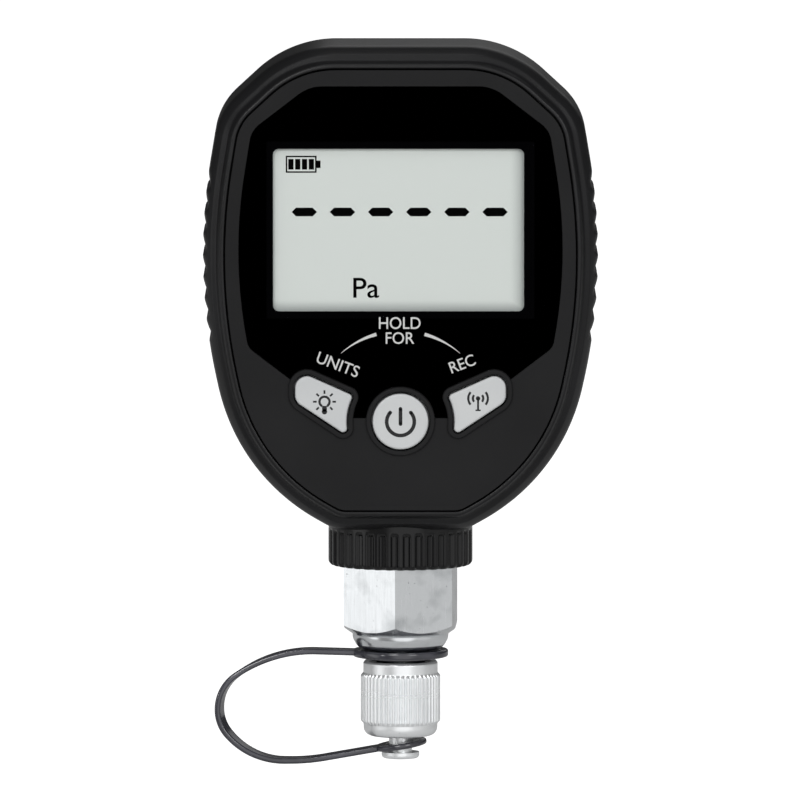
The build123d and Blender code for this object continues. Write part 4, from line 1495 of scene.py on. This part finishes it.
@dataclass
class Studio:
    """A pale floor, soft lamps, a white surround and the camera.

    Attributes:
        floor_z: Height of the floor, in metres.
        aim: Point that the camera looks at, in metres.
        distance: The camera's distance from it, in metres.
        elevation: The camera's angle above the horizon, in degrees.
        lens_mm: Focal length on a sensor 36 mm wide.
        surround: Brightness of the room that lights the object.
    """

    floor_z: float = -0.05
    aim: tuple[float, float, float] = (-0.0001, 0.0, 0.06565)
    distance: float = 3.0
    elevation: float = 5.0
    lens_mm: float = 661.8
    surround: float = 0.24

    def camera(self) -> None:
        """Sets the camera at the photograph's angle."""
        data = bpy.data.cameras.new("camera")
        data.lens, data.sensor_width = self.lens_mm, 36.0
        data.clip_start, data.clip_end = 0.1, 60.0
        item = bpy.data.objects.new("camera", data)
        bpy.context.scene.collection.objects.link(item)
        rise = math.radians(self.elevation)
        back = Vector((0, -math.cos(rise), math.sin(rise)))
        item.location = Vector(self.aim) + back * self.distance
        item.rotation_mode = "QUATERNION"
        item.rotation_quaternion = (-back).to_track_quat("-Z", "Y")
        bpy.context.scene.camera = item

    def floor(self) -> None:
        """Lays the floor, white to the camera and still shaded by the object."""
        side, front, behind = 4.0, -0.12, 6.0
        mesh = bpy.data.meshes.new("floor")
        corners = [(-side, front), (side, front), (side, behind), (-side, behind)]
        mesh.from_pydata([(x, y, self.floor_z) for x, y in corners], [], [(0, 1, 2, 3)])
        item = bpy.data.objects.new("floor", mesh)
        bpy.context.scene.collection.objects.link(item)
        material, tree, surface = new_material("pale_floor")
        paper = add_node(tree, "ShaderNodeBsdfDiffuse", {"Color": linear("#F0F0F0")})
        glow = add_node(tree, "ShaderNodeEmission", {"Color": (1.0, 1.0, 1.0, 1.0), "Strength": 0.8})
        both = add_node(
            tree, "ShaderNodeAddShader", links={0: paper.outputs["BSDF"], 1: glow.outputs["Emission"]}
        )
        path = add_node(tree, "ShaderNodeLightPath")
        mixed = add_node(
            tree,
            "ShaderNodeMixShader",
            links={0: path.outputs["Is Camera Ray"], 1: paper.outputs["BSDF"], 2: both.outputs["Shader"]},
        )
        tree.links.new(mixed.outputs["Shader"], surface)
        mesh.materials.append(material)

    def lamp(self, name: str, place: Sequence[float], size: float, watts: float) -> None:
        """Adds one soft square lamp aimed at the object."""
        data = bpy.data.lights.new(name, "AREA")
        data.shape, data.size, data.energy = "SQUARE", size, watts
        item = bpy.data.objects.new(name, data)
        bpy.context.scene.collection.objects.link(item)
        item.location = place
        item.rotation_mode = "QUATERNION"
        item.rotation_quaternion = (Vector(self.aim) - Vector(place)).to_track_quat("-Z", "Y")

    def room(self) -> None:
        """Lights the object from all round, with the brighter and darker cards on the wall."""
        world = bpy.data.worlds.new("room")
        world.use_nodes = True
        bpy.context.scene.world = world
        tree = world.node_tree
        tree.nodes.clear()
        way = add_node(tree, "ShaderNodeTexCoord").outputs["Generated"]
        level = add_node(tree, "ShaderNodeValue").outputs["Value"]
        level.default_value = self.surround
        for card in ROOM_CARDS:
            facing = add_node(
                tree, "ShaderNodeVectorMath", {"operation": "DOT_PRODUCT", 1: card.direction()}, {0: way}
            )
            share = add_node(
                tree,
                "ShaderNodeMapRange",
                {
                    "interpolation_type": "SMOOTHSTEP",
                    "From Min": math.cos(math.radians(card.outer)),
                    "From Max": math.cos(math.radians(card.inner)),
                    "To Max": card.brightness,
                },
                {"Value": facing.outputs["Value"]},
            )
            total = add_node(
                tree, "ShaderNodeMath", {"operation": "ADD"}, {0: level, 1: share.outputs["Result"]}
            )
            level = total.outputs["Value"]
        path = add_node(tree, "ShaderNodeLightPath")
        seen = add_node(
            tree,
            "ShaderNodeMath",
            {"operation": "MAXIMUM"},
            {0: level, 1: path.outputs["Is Camera Ray"]},
        )
        light = add_node(
            tree, "ShaderNodeBackground", {"Color": (1.0, 1.0, 1.0, 1.0)}, {"Strength": seen.outputs["Value"]}
        )
        output = add_node(tree, "ShaderNodeOutputWorld")
        tree.links.new(light.outputs["Background"], output.inputs["Surface"])

    def build(self) -> None:
        """Sets up the whole studio."""
        self.camera()
        self.floor()
        self.room()
        self.lamp("key_lamp", (-0.7, -2.0, 1.0), 0.7, 13.0)
        self.lamp("fill_lamp", (1.1, -1.8, 0.7), 0.7, 8.0)
        self.lamp("top_lamp", (0.0, 0.1, 2.4), 0.8, 2.5)
        self.lamp("glint_lamp", (-0.35, -1.0, 1.9), 0.15, 1.5)
        self.lamp("side_lamp", (-1.7, -1.8, 0.3), 0.22, 2.0)
        self.lamp("back_lamp", (0.5, 2.0, 1.2), 1.4, 2.5)
        bpy.context.scene.view_settings.view_transform = "Standard"


def build_materials(finishes: Iterable[Finish]) -> dict[str, bpy.types.Material]:
    """Builds each finish once and gives the materials by name."""
    return {finish.name: finish.material() for finish in finishes}


def main() -> None:
    """Builds the studio, dresses the solids and makes the finer pieces."""
    logging.basicConfig(level=logging.INFO, format="%(message)s", stream=sys.stdout)
    Studio().build()
    solids = CarriedSolids()
    own = (BUMPER_RUBBER, COLLAR_NYLON, STRAP_URETHANE, LEGEND_INK, SYMBOL_INK, SEGMENT_CRYSTAL)
    materials = build_materials(dict.fromkeys((*solids.finishes.values(), *own)))
    solids.dress(materials)
    LOG.info("dressed %d solids", len(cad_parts))
    pieces = [
        BumperSleeve().build(materials[BUMPER_RUBBER.name]),
        *Legends().build(materials[LEGEND_INK.name], materials[SYMBOL_INK.name]),
        *Readout().build(materials[SEGMENT_CRYSTAL.name]),
        ClampCollar().build(materials[COLLAR_NYLON.name]),
        FlareFitting().build(materials[FITTING_NICKEL.name]),
        KnurledCap().build(materials[CAP_NICKEL.name]),
        CapStrap().build(materials[STRAP_URETHANE.name]),
    ]
    for piece in pieces:
        LOG.info("made %s with %d faces", piece.name, len(piece.data.polygons))


if __name__ == "__main__":
    main()
